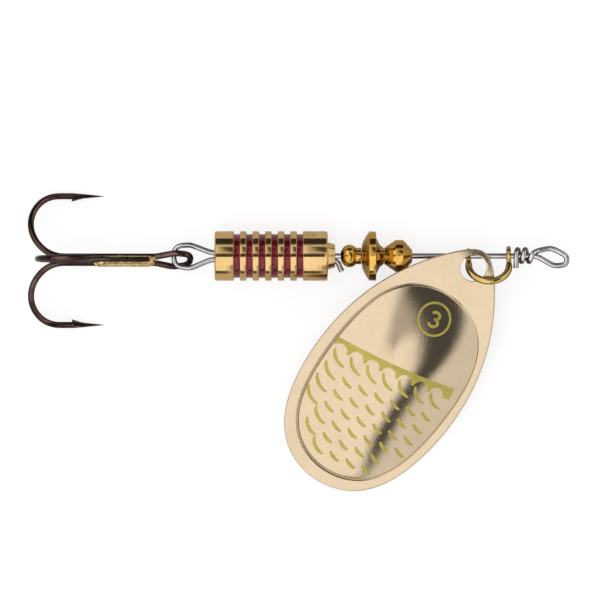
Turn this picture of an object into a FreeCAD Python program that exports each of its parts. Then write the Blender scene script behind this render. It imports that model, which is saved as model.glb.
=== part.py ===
"""Inline spinner: a wire shaft that carries a clevis with a swinging blade, three turned
beads, a grooved brass weight and a brazed treble hook.

Frame: millimetres. The origin is the centre of the line eye, on the shaft's axis. The shaft
runs along -X from there, and +Z is up. The lure lies on a flat surface, and the weight and two
of the hook's points touch it.
"""
import FreeCAD, Part

import math
import os

import Sketcher

from FreeCAD import Placement, Rotation, Vector

# Driving dimensions, in millimetres and degrees. They fill the spreadsheet.
SIZES = {
    # shaft wire
    "wire_radius": 0.29,
    "wrap_radius": 0.67,
    "wrap_pitch": 0.84,
    "wrap_first": 4.10,
    "wrap_side": 0.05,
    "wrap_tail": 1.35,
    # beads, measured back from the line eye
    "bead_bore": 0.36,
    "bell_front": 15.50,
    "bell_nose_length": 0.45,
    "bell_nose_radius": 1.17,
    "bell_tip_radius": 0.66,
    "bell_shoulder_length": 0.55,
    "bell_radius": 1.76,
    "bell_rim_length": 0.80,
    "bell_cone_length": 1.26,
    "bell_neck_radius": 0.90,
    "disc_front": 18.60,
    "disc_neck_radius": 0.86,
    "disc_cone_length": 0.45,
    "disc_cone_radius": 1.22,
    "disc_dish_length": 0.38,
    "disc_dish_radius": 1.96,
    "disc_radius": 2.70,
    "disc_step_length": 0.05,
    "disc_rim_length": 0.72,
    "disc_flank_length": 0.32,
    "disc_flank_radius": 2.28,
    "disc_crown_length": 0.42,
    "disc_crown_radius": 1.50,
    "disc_back_length": 0.13,
    "disc_back_radius": 0.85,
    "ball_front": 21.11,
    "ball_collar_length": 0.70,
    "ball_collar_radius": 0.91,
    "ball_radius": 1.25,
    "ball_half_length": 1.02,
    "ball_centre_back": 1.27,
    # weight
    "weight_front": 23.97,
    "weight_bore": 0.92,
    "spigot_length": 0.83,
    "spigot_tip_radius": 1.25,
    "spigot_root_radius": 1.50,
    "weight_radius": 2.72,
    "weight_shoulder": 2.60,
    "weight_edge": 0.12,
    "weight_barrel": 12.16,
    "groove_width": 0.69,
    "groove_pitch": 1.383,
    "groove_floor": 2.33,
    "groove_first": 2.70,
    "groove_count": 6,
    "enamel_depth": 0.07,
    "cutter_overrun": 0.50,
    # clevis
    "clevis_wire_radius": 0.38,
    "clevis_half_span": 2.21,
    "clevis_middle": 7.09,
    "clevis_arm_length": 1.45,
    "clevis_eye_radius": 1.08,
    "clevis_rear_eye_radius": 0.84,
    "clevis_eye_thickness": 0.42,
    "clevis_eye_bore": 0.36,
    "clevis_eye_overlap": 0.30,
    "clevis_tilt": 41.0,
    # blade
    "blade_thickness": 0.50,
    "blade_hole_radius": 1.48,
    "blade_head": 2.12,
    "blade_tail": 29.25,
    "blade_dome_height": 2.40,
    "dome_start": 3.85,
    "dome_end": 27.70,
    "dome_shift": 0.21,
    "dome_fullness": 0.90,
    "head_curl": 0.03,
    "head_curl_from": 1.20,
    "blade_turn": -37.6,
    "blade_pitch": 6.9,
    "blade_roll": 8.4,
    "hole_back": 8.80,
    "hole_side": 1.35,
    "hole_height": 1.57,
    # treble hook
    "hook_wire_radius": 0.345,
    "hook_strand_radius": 0.405,
    "hook_bend_reach": 3.90,
    "hook_bend_small": 3.05,
    "hook_bend_large": 4.25,
    "hook_bend_corner": 14.02,
    "hook_point_from_eye": 7.76,
    "hook_point_length": 3.30,
    "hook_tip_radius": 0.03,
    "hook_barb_radius": 0.19,
    "hook_barb_back": 0.25,
    "hook_barb_nose": 1.15,
    "hook_barb_rise": 0.34,
    "hook_neck": 2.60,
    "hook_cut_end": 3.40,
    "hook_eye_radius": 1.15,
    "hook_eye_turn": 57.0,
    "hook_pitch": 10.0,
    "hook_roll": -1.0,
    "hook_eye_back": 41.10,
    "hook_eye_side": 0.42,
    "hook_eye_height": 0.10,
    "braze_start": 2.95,
    "braze_root": 0.43,
    "braze_radius": 0.68,
    "braze_end": 9.80,
}

# The blade's half-width is the sine of an angle that runs from 0 at the head to 180 degrees at
# the tail, times a cosine series of that angle with these terms.
BLADE_SERIES = (8.41, -2.77, -0.23, -0.46)
DOME_SERIES = (8.52, 0.085, 0.91)
OUTLINE_STEPS = 40
DOME_CELLS = 36
WRAP_SIDES = 8
DRILL_OVERRUN = 1.0
TOLERANCE = 1e-4

# The three strands of the hook, in degrees from +Y towards +Z round its shank.
DOUBLE_ARMS = (-30, 210)
SINGLE_ARM = 90

document = FreeCAD.newDocument("InlineSpinner")
sheet = document.addObject("Spreadsheet::Sheet", "Sizes")
for row, (alias, value) in enumerate(SIZES.items(), start=1):
    sheet.set("A%d" % row, alias)
    sheet.set("B%d" % row, str(value))
    sheet.setAlias("B%d" % row, alias)
document.recompute()

nodes = []


def keep(item, label):
    """Give a finished sub-part its own label and list it for export."""
    item.Label = label
    nodes.append(item)
    return item


def bind(item, **expressions):
    """Bind properties of an object to expressions of the sheet's cells."""
    for path, expression in expressions.items():
        item.setExpression(path.replace("__", "."), expression)
    return item


def flat_sketch(body, name):
    """A new sketch on the body's XY plane."""
    sketch = body.newObject("Sketcher::SketchObject", name)
    plane = next(item for item in body.Origin.OriginFeatures if item.Role == "XY_Plane")
    sketch.AttachmentSupport = [(plane, "")]
    sketch.MapMode = "FlatFace"
    return sketch


def closed_chain(sketch, places):
    """Draw a closed chain of straight lines through the places."""
    count = len(places)
    for i, place in enumerate(places):
        sketch.addGeometry(Part.LineSegment(place, places[(i + 1) % count]))
    for i in range(count):
        sketch.addConstraint(Sketcher.Constraint("Coincident", i, 2, (i + 1) % count, 1))


def driven(sketch, kind, ends, value, expression):
    """Add a distance between two (geometry, point) ends, driven by an expression."""
    index = sketch.addConstraint(Sketcher.Constraint(kind, *ends[0], *ends[1], value))
    sketch.setExpression("Constraints[%d]" % index, expression)


def along_x(degrees):
    """A cylinder's placement, turned so that its length runs along X: 90 forward, -90 back."""
    return Placement(Vector(), Rotation(Vector(0, 1, 0), degrees))


# ---------------------------------------------------------------- bent wire

def unit(vector):
    """The vector at length one."""
    return vector * (1.0 / vector.Length)


def bent_runs(corners):
    """Straight runs and tangent arcs through the corners, which are (point, bend radius) pairs.

    A run is (start, end); a bend is (start, centre, axis, degrees).
    """
    points = [Vector(*point) for point, _ in corners]
    runs = []
    here = points[0]
    for i in range(1, len(points) - 1):
        back = unit(points[i - 1] - points[i])
        ahead = unit(points[i + 1] - points[i])
        turn = math.pi - back.getAngle(ahead)
        radius = corners[i][1]
        reach = radius * math.tan(turn / 2)
        start = points[i] + back * reach
        straight = (start - here).dot(back * -1)
        if straight < 0:
            raise RuntimeError("corner %d has no room for its bend: %.3f" % (i, straight))
        if straight > TOLERANCE:
            runs.append((here, start))
        centre = points[i] + unit(back + ahead) * (radius / math.cos(turn / 2))
        axis = unit((back * -1).cross(ahead))
        runs.append((start, centre, axis, math.degrees(turn)))
        here = points[i] + ahead * reach
    runs.append((here, points[-1]))
    return runs


def round_wire(corners, radius):
    """A solid round wire bent along the corners."""
    solids = []
    length = 0.0
    for run in bent_runs(corners):
        if len(run) == 2:
            along = run[1] - run[0]
            solids.append(Part.makeCylinder(radius, along.Length, run[0], along))
            length += along.Length
            continue
        start, centre, axis, degrees = run
        section = Part.Face(Part.Wire(Part.makeCircle(radius, start, axis.cross(start - centre))))
        solids.append(section.revolve(centre, axis, degrees))
        length += (start - centre).Length * math.radians(degrees)
    solid = solids[0].multiFuse(solids[1:])
    wanted = length * math.pi * radius ** 2
    if len(solid.Solids) != 1 or abs(solid.Volume - wanted) > 0.005 * wanted:
        raise RuntimeError("a wire holds %.3f, not %.3f" % (solid.Volume, wanted))
    return solid.Solids[0]


def make_shaft_wire():
    """One wire: cut tail, three wraps, line eye, shaft, hook loop, doubled tag in the bore."""
    radius = sheet.wire_radius
    wrap = sheet.wrap_radius
    pitch = sheet.wrap_pitch
    first = -sheet.wrap_first
    side = sheet.wrap_side
    outside = wrap / math.cos(math.pi / WRAP_SIDES)
    corners = [((first, -sheet.wrap_tail, wrap), 0)]
    for step in range(2 * WRAP_SIDES):
        turns = (step + 0.5) / WRAP_SIDES
        angle = 2 * math.pi * turns
        across = side + outside * math.sin(angle)
        corners.append(((first + pitch * turns, across, outside * math.cos(angle)), 0.60))
    corners += [
        ((-2.25, outside * 0.4, outside * 0.92), 0.34),
        ((-1.70, 0.58, 0.20), 0.34),
        ((-0.15, 0.90, 0.0), 1.30),
        ((1.62, -0.05, 0.0), 0.60),
        ((1.42, -0.96, 0.0), 0.38),
        ((0.15, -1.12, 0.0), 1.30),
        ((-1.80, 0.0, 0.0), 1.20),
        ((-24.2, 0.0, 0.0), 2.0),
        ((-37.5, 0.33, 0.0), 3.0),
        ((-39.9, 1.24, 0.0), 1.20),
        ((-41.7, 1.08, 0.0), 0.90),
        ((-41.7, -1.08, 0.0), 0.90),
        ((-39.9, -1.36, 0.0), 1.20),
        ((-37.5, -0.33, 0.0), 3.0),
        ((-23.62, -0.56, 0.0), 0.36),
        ((-23.55, -1.00, 0.0), 0.30),
        ((-23.20, -1.72, 0.0), 0),
    ]
    shaft = document.addObject("Part::Feature", "ShaftWire")
    shaft.Shape = round_wire(corners, radius)
    return keep(shaft, "shaft_wire")


# ---------------------------------------------------------------- turned brass

def turned_section(body, name, bore, steps):
    """A closed half-section on the body's XY plane, from the front face back along -X.

    Each step is (length alias or None, radius alias): move back by that length to that radius.
    """
    sketch = flat_sketch(body, name)
    corners = [([], bore)]
    lengths = []
    for length, radius in steps:
        if length:
            lengths = lengths + [length]
        corners.append((lengths, radius))
    corners.append((lengths, bore))
    places = [Vector(-sum(SIZES[a] for a in run), SIZES[r], 0) for run, r in corners]
    closed_chain(sketch, places)
    for i, (run, radius) in enumerate(corners):
        if run:
            total = " + ".join("Sizes." + alias for alias in run)
            driven(sketch, "DistanceX", ((i, 1), (-1, 1)), -places[i].x, total)
        else:
            sketch.addConstraint(Sketcher.Constraint("PointOnObject", i, 1, -2))
        driven(sketch, "DistanceY", ((-1, 1), (i, 1)), places[i].y, "Sizes." + radius)
    return sketch


def turned_body(name, front, bore, steps):
    """A Body turned about its X axis, with its front face at the alias `front` behind the eye."""
    body = document.addObject("PartDesign::Body", name)
    section = turned_section(body, name + "Section", bore, steps)
    turn = body.newObject("PartDesign::Revolution", name + "Turning")
    turn.Profile = section
    turn.ReferenceAxis = (section, ["H_Axis"])
    turn.Angle = 360
    body.Tip = turn
    body.setExpression("Placement.Base.x", "-Sizes." + front)
    document.recompute()
    return body


def make_bell_bead():
    """Front bearing bead: a nosed bell whose neck points back at the disc."""
    steps = [
        (None, "bell_tip_radius"),
        ("bell_nose_length", "bell_nose_radius"),
        ("bell_shoulder_length", "bell_radius"),
        ("bell_rim_length", "bell_radius"),
        ("bell_cone_length", "bell_neck_radius"),
    ]
    return keep(turned_body("BellBead", "bell_front", "bead_bore", steps), "bell_bead")


def make_disc_bead():
    """Middle bead: a thin wide rim, dished in front and crowned behind."""
    steps = [
        (None, "disc_neck_radius"),
        ("disc_cone_length", "disc_cone_radius"),
        ("disc_dish_length", "disc_dish_radius"),
        ("disc_step_length", "disc_radius"),
        ("disc_rim_length", "disc_radius"),
        ("disc_flank_length", "disc_flank_radius"),
        ("disc_crown_length", "disc_crown_radius"),
        ("disc_back_length", "disc_back_radius"),
    ]
    return keep(turned_body("DiscBead", "disc_front", "bead_bore", steps), "disc_bead")


def make_ball_bead():
    """Rear bead: an oblate ball with a short collar in front, bored through."""
    ball = document.addObject("Part::Ellipsoid", "Ball")
    ball.Placement = along_x(90)
    bind(
        ball,
        Radius1="Sizes.ball_half_length",
        Radius2="Sizes.ball_radius",
        Placement__Base__x="-Sizes.ball_front - Sizes.ball_centre_back",
    )
    collar = document.addObject("Part::Cylinder", "BallCollar")
    collar.Placement = along_x(-90)
    bind(
        collar,
        Radius="Sizes.ball_collar_radius",
        Height="Sizes.ball_collar_length",
        Placement__Base__x="-Sizes.ball_front",
    )
    blank = document.addObject("Part::Fuse", "BallBlank")
    blank.Base = ball
    blank.Tool = collar
    drill = document.addObject("Part::Cylinder", "BallDrill")
    drill.Placement = along_x(-90)
    bind(
        drill,
        Radius="Sizes.bead_bore",
        Height="2 * Sizes.ball_centre_back + %g" % (2 * DRILL_OVERRUN),
        Placement__Base__x="-Sizes.ball_front + %g" % DRILL_OVERRUN,
    )
    bead = document.addObject("Part::Cut", "BallBead")
    bead.Base = blank
    bead.Tool = drill
    return keep(bead, "ball_bead")


def make_weight():
    """The casting weight: a bored brass bar with a spigot in front and six turned grooves."""
    steps = [
        (None, "spigot_tip_radius"),
        ("spigot_length", "spigot_root_radius"),
        (None, "weight_shoulder"),
        ("weight_edge", "weight_radius"),
        ("weight_barrel", "weight_radius"),
        ("weight_edge", "weight_shoulder"),
    ]
    body = turned_body("Weight", "weight_front", "weight_bore", steps)
    before = body.Shape.Volume

    sketch = flat_sketch(body, "GrooveSection")
    front = -(sheet.spigot_length + sheet.groove_first)
    back = front - sheet.groove_width
    floor = sheet.groove_floor
    outside = sheet.weight_radius + sheet.cutter_overrun
    closed_chain(sketch, [
        Vector(front, floor, 0),
        Vector(front, outside, 0),
        Vector(back, outside, 0),
        Vector(back, floor, 0),
    ])
    for i, kind in enumerate(("Vertical", "Horizontal", "Vertical", "Horizontal")):
        sketch.addConstraint(Sketcher.Constraint(kind, i))
    reach = "Sizes.spigot_length + Sizes.groove_first"
    depth = "Sizes.weight_radius + Sizes.cutter_overrun"
    driven(sketch, "DistanceX", ((0, 1), (-1, 1)), -front, reach)
    driven(sketch, "DistanceX", ((2, 2), (0, 1)), front - back, "Sizes.groove_width")
    driven(sketch, "DistanceY", ((-1, 1), (0, 1)), floor, "Sizes.groove_floor")
    driven(sketch, "DistanceY", ((-1, 1), (1, 1)), outside, depth)
    groove = body.newObject("PartDesign::Groove", "FirstGroove")
    groove.Profile = sketch
    groove.ReferenceAxis = (sketch, ["H_Axis"])
    groove.Angle = 360
    body.Tip = groove
    document.recompute()

    pattern = body.newObject("PartDesign::LinearPattern", "Grooves")
    pattern.Originals = [groove]
    pattern.Direction = (sketch, ["H_Axis"])
    pattern.Reversed = True
    pattern.Mode = "Spacing"
    bind(pattern, Offset="Sizes.groove_pitch", Occurrences="Sizes.groove_count")
    body.Tip = pattern
    document.recompute()
    removed = before - body.Shape.Volume
    ring_area = math.pi * (sheet.weight_radius ** 2 - sheet.groove_floor ** 2)
    wanted = ring_area * sheet.groove_width * sheet.groove_count
    if abs(removed - wanted) > 0.02 * wanted:
        raise RuntimeError("the grooves removed %.2f, not %.2f" % (removed, wanted))
    return keep(body, "grooved_weight")


def make_groove_enamel():
    """Six thin rings of dark red enamel, one on the floor of each groove."""
    rings = []
    first = "-Sizes.weight_front - Sizes.spigot_length - Sizes.groove_first"
    radii = {"Skin": "Sizes.groove_floor + Sizes.enamel_depth", "Core": "Sizes.groove_floor"}
    for i in range(SIZES["groove_count"]):
        place = "%s - %d * Sizes.groove_pitch" % (first, i)
        drums = {}
        for part, radius in radii.items():
            drum = document.addObject("Part::Cylinder", "Enamel%s%d" % (part, i + 1))
            drum.Placement = along_x(-90)
            bind(drum, Radius=radius, Height="Sizes.groove_width", Placement__Base__x=place)
            drums[part] = drum
        ring = document.addObject("Part::Cut", "EnamelRing%d" % (i + 1))
        ring.Base = drums["Skin"]
        ring.Tool = drums["Core"]
        rings.append(ring)
    enamel = document.addObject("Part::Compound", "GrooveEnamel")
    enamel.Links = rings
    return keep(enamel, "groove_enamel")


# ---------------------------------------------------------------- clevis and blade

def make_clevis():
    """A folded U of brass wire with two flat eyes that turn on the shaft."""
    bow = document.addObject("Part::Torus", "ClevisBow")
    bow.Angle3 = 180
    bow.Placement = Placement(Vector(), Rotation(Vector(0, 0, 1), 180))
    bind(
        bow,
        Radius1="Sizes.clevis_half_span",
        Radius2="Sizes.clevis_wire_radius",
        Placement__Base__y="-Sizes.clevis_arm_length",
    )
    solids = [bow]
    drills = []
    for side, sign, eye_radius in (
        ("Front", "+", "Sizes.clevis_eye_radius"),
        ("Rear", "-", "Sizes.clevis_rear_eye_radius"),
    ):
        arm = document.addObject("Part::Cylinder", "Clevis%sArm" % side)
        arm.Placement = Placement(Vector(), Rotation(Vector(1, 0, 0), 90))
        bind(
            arm,
            Radius="Sizes.clevis_wire_radius",
            Height="Sizes.clevis_arm_length - Sizes.clevis_eye_bore - Sizes.clevis_eye_overlap",
            Placement__Base__x=sign + "Sizes.clevis_half_span",
            Placement__Base__y="-Sizes.clevis_eye_bore - Sizes.clevis_eye_overlap",
        )
        eye = document.addObject("Part::Cylinder", "Clevis%sEye" % side)
        eye.Placement = along_x(90)
        bind(
            eye,
            Radius=eye_radius,
            Height="Sizes.clevis_eye_thickness",
            Placement__Base__x=sign + "Sizes.clevis_half_span - Sizes.clevis_eye_thickness / 2",
        )
        solids += [arm, eye]
    blank = document.addObject("Part::MultiFuse", "ClevisBlank")
    blank.Shapes = solids
    drill = document.addObject("Part::Cylinder", "ClevisDrill")
    drill.Placement = along_x(90)
    bind(
        drill,
        Radius="Sizes.clevis_eye_bore",
        Height="2 * Sizes.clevis_half_span + %g" % (2 * DRILL_OVERRUN),
        Placement__Base__x="-Sizes.clevis_half_span - %g" % DRILL_OVERRUN,
    )
    clevis = document.addObject("Part::Cut", "Clevis")
    clevis.Base = blank
    clevis.Tool = drill
    clevis.Placement = Placement(Vector(), Rotation(Vector(1, 0, 0), -sheet.clevis_tilt))
    clevis.setExpression("Placement.Base.x", "-Sizes.clevis_middle")
    return keep(clevis, "clevis")


def egg_half_width(series, turn):
    """Half-width of an egg outline at an angle from its head: sine times a cosine series."""
    return math.sin(turn) * sum(term * math.cos(k * turn) for k, term in enumerate(series))


def egg_wire(series, head, tail):
    """The closed egg outline from y = head down to y = -tail, as one smooth spline."""
    middle = (head - tail) / 2
    reach = (head + tail) / 2
    points = []
    for step in range(OUTLINE_STEPS):
        turn = 2 * math.pi * step / OUTLINE_STEPS
        points.append(Vector(egg_half_width(series, turn), middle + reach * math.cos(turn), 0))
    curve = Part.BSplineCurve()
    curve.interpolate(points, PeriodicFlag=True)
    return Part.Wire([curve.toShape()])


def dome_height(x, y):
    """Height of the pressed dome over the rim, nought at the dome's own outline and outside it."""
    middle = -(sheet.dome_start + sheet.dome_end) / 2
    reach = (sheet.dome_end - sheet.dome_start) / 2
    along = (y - middle) / reach
    if abs(along) >= 1:
        return 0.0
    turn = math.acos(along)
    across = (x - sheet.dome_shift) / egg_half_width(DOME_SERIES, turn)
    if abs(across) >= 1:
        return 0.0
    return sheet.blade_dome_height * (1 - across ** 2) * math.sin(turn) ** sheet.dome_fullness


def blade_height(x, y):
    """Height of the blade's middle surface: the dome, less the curl of the head."""
    past = max(0.0, y + sheet.head_curl_from)
    return dome_height(x, y) - sheet.head_curl * past ** 2


def make_blade():
    """The pressed sheet-brass blade: an egg outline, a flat rim, a dome and a hole at the head."""
    margin = 1.1
    half_width = BLADE_SERIES[0] + margin
    length = sheet.blade_tail + sheet.blade_head + 2 * margin
    rows = []
    for i in range(DOME_CELLS + 1):
        y = sheet.blade_head + margin - length * i / DOME_CELLS
        row = []
        for k in range(DOME_CELLS + 1):
            x = half_width * (2 * k / DOME_CELLS - 1)
            row.append(Vector(x, y, blade_height(x, y)))
        rows.append(row)
    skin = Part.BSplineSurface()
    skin.approximate(Points=rows, DegMin=3, DegMax=5, Continuity=2, Tolerance=0.03)
    under = skin.toShape()
    under.translate(Vector(0, 0, -sheet.blade_thickness / 2))
    plate = under.extrude(Vector(0, 0, sheet.blade_thickness))
    reach = 2 * sheet.blade_dome_height
    outline = Part.Face(egg_wire(BLADE_SERIES, sheet.blade_head, sheet.blade_tail))
    outline.translate(Vector(0, 0, -reach))
    blank = plate.common(outline.extrude(Vector(0, 0, 2 * reach)))
    hole = Part.makeCylinder(sheet.blade_hole_radius, 2 * reach, Vector(0, 0, -reach))
    solid = blank.cut(hole)
    if len(solid.Solids) != 1:
        raise RuntimeError("the blade came out as %d solids" % len(solid.Solids))
    blade = document.addObject("Part::Feature", "Blade")
    blade.Shape = solid.Solids[0]
    turn = Rotation(Vector(0, 0, 1), sheet.blade_turn)
    pitch = Rotation(Vector(1, 0, 0), sheet.blade_pitch)
    roll = Rotation(Vector(0, 1, 0), sheet.blade_roll)
    place = Vector(-sheet.hole_back, -sheet.hole_side, sheet.hole_height)
    blade.Placement = Placement(place, turn.multiply(pitch).multiply(roll))
    return keep(blade, "blade")


# ---------------------------------------------------------------- treble hook
# The hook's own frame: the origin at the eye's round end, -X along the shank to the bends,
# Y across and Z up. Its three arms stand at even angles round the shank.

def hook_placement():
    """Where the hook hangs: linked into the wire loop, its bends raised so two points touch down."""
    place = Vector(-sheet.hook_eye_back, -sheet.hook_eye_side, sheet.hook_eye_height)
    pitch = Rotation(Vector(0, 1, 0), sheet.hook_pitch)
    roll = Rotation(Vector(1, 0, 0), sheet.hook_roll)
    return Placement(place, pitch.multiply(roll))


def around(back, out, degrees):
    """A point `back` along the shank and `out` from its axis, at an angle from +Y towards +Z."""
    angle = math.radians(degrees)
    return (-back, out * math.cos(angle), out * math.sin(angle))


def arm_corners(degrees):
    """The corners of one arm's bend and spear, from the shank round to the start of the point."""
    strand = sheet.hook_strand_radius
    reach = sheet.hook_bend_reach
    corner = sheet.hook_bend_corner
    return [
        (around(corner, strand, degrees), sheet.hook_bend_small),
        (around(corner + reach, strand + reach, degrees), sheet.hook_bend_large),
        (around(corner, strand + 2 * reach, degrees), sheet.hook_bend_small),
        (around(sheet.hook_point_from_eye + sheet.hook_point_length, strand + 2 * reach, degrees), 0),
    ]


def hook_point(degrees):
    """The ground point of an arm and the barb raised from its inner side."""
    wire = sheet.hook_wire_radius
    fine = sheet.hook_tip_radius
    out = sheet.hook_strand_radius + 2 * sheet.hook_bend_reach
    ground = sheet.hook_point_from_eye + sheet.hook_point_length
    root = Vector(*around(ground, out, degrees))
    tip = Vector(*around(sheet.hook_point_from_eye, out, degrees))
    spike = Part.makeCone(wire, fine, (tip - root).Length, root, tip - root)
    inside = out - wire - sheet.hook_barb_rise
    heel = Vector(*around(ground + sheet.hook_barb_back, inside, degrees))
    nose = Vector(*around(ground - sheet.hook_barb_nose, out - fine, degrees))
    barb = Part.makeCone(fine, sheet.hook_barb_radius, (nose - heel).Length, heel, nose - heel)
    return [spike, barb]


def make_double_hook():
    """Two arms and the eye, bent from one wire."""
    eye = sheet.hook_eye_radius
    turn = sheet.hook_eye_turn
    strand = sheet.hook_strand_radius
    first, second = DOUBLE_ARMS
    loop = [
        (around(sheet.hook_neck, strand, first), 0.90),
        (around(0.60, eye + 0.17, turn), 1.00),
        (around(-eye - 0.05, eye - 0.15, turn), 0.95),
        (around(-eye - 0.05, 0.15 - eye, turn), 0.95),
        (around(0.60, -eye - 0.17, turn), 1.00),
        (around(sheet.hook_neck, strand, second), 0.90),
    ]
    corners = arm_corners(first)[::-1] + loop + arm_corners(second)
    wire = round_wire(corners, sheet.hook_wire_radius)
    solid = wire.multiFuse(hook_point(first) + hook_point(second))
    hook = document.addObject("Part::Feature", "DoubleHook")
    hook.Shape = solid.Solids[0]
    hook.Placement = hook_placement()
    return keep(hook, "double_hook")


def make_single_hook():
    """The third arm, cut off square behind the eye and brazed to the pair."""
    start = (around(sheet.hook_cut_end, sheet.hook_strand_radius, SINGLE_ARM), 0)
    wire = round_wire([start] + arm_corners(SINGLE_ARM), sheet.hook_wire_radius)
    solid = wire.multiFuse(hook_point(SINGLE_ARM))
    hook = document.addObject("Part::Feature", "SingleHook")
    hook.Shape = solid.Solids[0]
    hook.Placement = hook_placement()
    return keep(hook, "single_hook")


def make_braze():
    """The brass that fills the three valleys between the shanks."""
    begin = sheet.braze_start
    back = Vector(-1, 0, 0)
    filler = Part.makeCylinder(sheet.braze_radius, sheet.braze_end - begin, back * begin, back)
    filler = filler.cut(Part.makeCylinder(sheet.braze_root, sheet.braze_end, Vector(), back))
    for degrees in (*DOUBLE_ARMS, SINGLE_ARM):
        strand = Vector(*around(0, sheet.hook_strand_radius, degrees))
        shank = Part.makeCylinder(sheet.hook_wire_radius, 2 * sheet.braze_end, strand, back)
        filler = filler.cut(shank)
    if len(filler.Solids) != 3:
        raise RuntimeError("the braze came out as %d solids" % len(filler.Solids))
    braze = document.addObject("Part::Feature", "Braze")
    braze.Shape = Part.makeCompound(filler.Solids)
    braze.Placement = hook_placement()
    return keep(braze, "braze")


def export():
    """Check every object and write each sub-part to parts/LABEL.step."""
    document.recompute()
    for item in document.Objects:
        if "Invalid" in item.State or "Error" in item.State:
            raise RuntimeError("%s did not compute: %s" % (item.Name, item.State))
    os.makedirs("parts", exist_ok=True)
    for item in nodes:
        shape = item.Shape
        if shape.isNull() or not shape.isValid() or not shape.Solids:
            raise RuntimeError("%s has no valid shape" % item.Label)
        shape.exportStep(os.path.join("parts", item.Label + ".step"))
        print("%-16s solids %d volume %8.3f" % (item.Label, len(shape.Solids), shape.Volume))


make_shaft_wire()
make_bell_bead()
make_disc_bead()
make_ball_bead()
make_weight()
make_groove_enamel()
make_clevis()
make_blade()
make_double_hook()
make_single_hook()
make_braze()
export()
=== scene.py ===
"""The looks of an inline spinner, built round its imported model.

Sizes are in millimetres in the model's own frame: the origin is the middle of the line eye, the
shaft runs back from it along -X, Y is across and +Z is up. The lure lies on its side on a floor.
"""

import logging
import math
from dataclasses import dataclass, replace
from enum import Enum
from typing import Any

import bpy
import numpy as np
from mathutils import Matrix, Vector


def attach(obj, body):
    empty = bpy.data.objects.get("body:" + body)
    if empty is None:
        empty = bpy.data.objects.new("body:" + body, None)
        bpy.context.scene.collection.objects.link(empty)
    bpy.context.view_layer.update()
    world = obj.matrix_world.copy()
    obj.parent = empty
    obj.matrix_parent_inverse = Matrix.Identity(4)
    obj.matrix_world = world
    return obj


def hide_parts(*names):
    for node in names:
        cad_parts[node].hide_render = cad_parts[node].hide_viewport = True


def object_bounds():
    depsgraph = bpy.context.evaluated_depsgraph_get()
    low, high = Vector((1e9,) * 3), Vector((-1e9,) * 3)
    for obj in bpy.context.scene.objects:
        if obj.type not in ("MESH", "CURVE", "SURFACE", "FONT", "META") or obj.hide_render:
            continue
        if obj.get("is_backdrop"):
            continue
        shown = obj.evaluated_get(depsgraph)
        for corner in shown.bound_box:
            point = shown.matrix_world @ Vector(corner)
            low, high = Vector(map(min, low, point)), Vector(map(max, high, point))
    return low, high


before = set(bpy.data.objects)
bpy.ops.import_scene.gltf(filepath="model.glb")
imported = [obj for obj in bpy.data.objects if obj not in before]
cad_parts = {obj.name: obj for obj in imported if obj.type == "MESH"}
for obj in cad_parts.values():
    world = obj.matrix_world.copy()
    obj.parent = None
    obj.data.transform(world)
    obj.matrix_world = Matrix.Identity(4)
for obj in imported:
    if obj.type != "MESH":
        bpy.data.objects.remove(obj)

LOG = logging.getLogger("spinner")
Array = np.ndarray
Socket = bpy.types.NodeSocket
Place = tuple[float, float, float]
Corner = tuple[Place, float]
Colour = tuple[float, float, float]
Span = tuple[float, float]

MM = 0.001
CROSS_HELPER = np.array([0.45, 0.20, 0.87])
PROFILE_ARC = 18.0
TINY_TURN = 1e-4


# ---------------------------------------------------------------- surfaces

@dataclass
class Skin:
    """A closed surface: vertices in millimetres, faces of four and of three, and their UVs."""

    points: Array
    quads: Array
    triangles: Array
    quad_uvs: Array
    triangle_uvs: Array

    def moved(self, turn: Array, place: Place) -> "Skin":
        """The same skin turned by a 3 x 3 matrix and then moved to a place."""
        return replace(self, points=self.points @ turn.T + np.array(place))

    def volume(self) -> float:
        """The volume inside: a sixth of the triple product of each triangle's corners, summed."""
        halves = np.concatenate([self.quads[:, [0, 1, 2]], self.quads[:, [0, 2, 3]], self.triangles])
        first, second, third = (self.points[halves[:, i]] for i in range(3))
        return float(np.einsum("ij,ij->i", first, np.cross(second, third)).sum() / 6)

    def outward(self) -> "Skin":
        """The same skin with its faces turned to point out."""
        if self.volume() >= 0:
            return self
        names = ("quads", "triangles", "quad_uvs", "triangle_uvs")
        return replace(self, **{name: getattr(self, name)[:, ::-1] for name in names})


def unit(vectors: Array) -> Array:
    """Vectors scaled to a length of 1."""
    return vectors / np.linalg.norm(vectors, axis=-1, keepdims=True)


def tangents(line: Array) -> Array:
    """The unit direction of a line at each of its points."""
    return unit(np.gradient(line, axis=0))


def along_line(line: Array) -> Array:
    """The length along a line at each of its points."""
    return np.concatenate([[0.0], np.cumsum(np.linalg.norm(np.diff(line, axis=0), axis=1))])


def full_turn(count: int) -> Array:
    """Angles at even steps once round a circle."""
    return 2 * np.pi * np.arange(count) / count


def arc(angle: Array) -> Array:
    """Points on the unit circle at the given angles, as (n, 2)."""
    return np.stack([np.cos(angle), np.sin(angle)], axis=1)


def raised(flat: Array, height: Array) -> Array:
    """Flat points, (..., 2), lifted to a height, as (..., 3)."""
    return np.concatenate([flat, height[..., None]], axis=-1)


def circles(x: Array, radius: Array, angle: Array) -> Array:
    """Points at the given angles of circles round the X axis, as (rows, columns, 3)."""
    parts = np.broadcast_arrays(x, radius * np.cos(angle), radius * np.sin(angle))
    return np.stack(parts, axis=-1)


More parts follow.
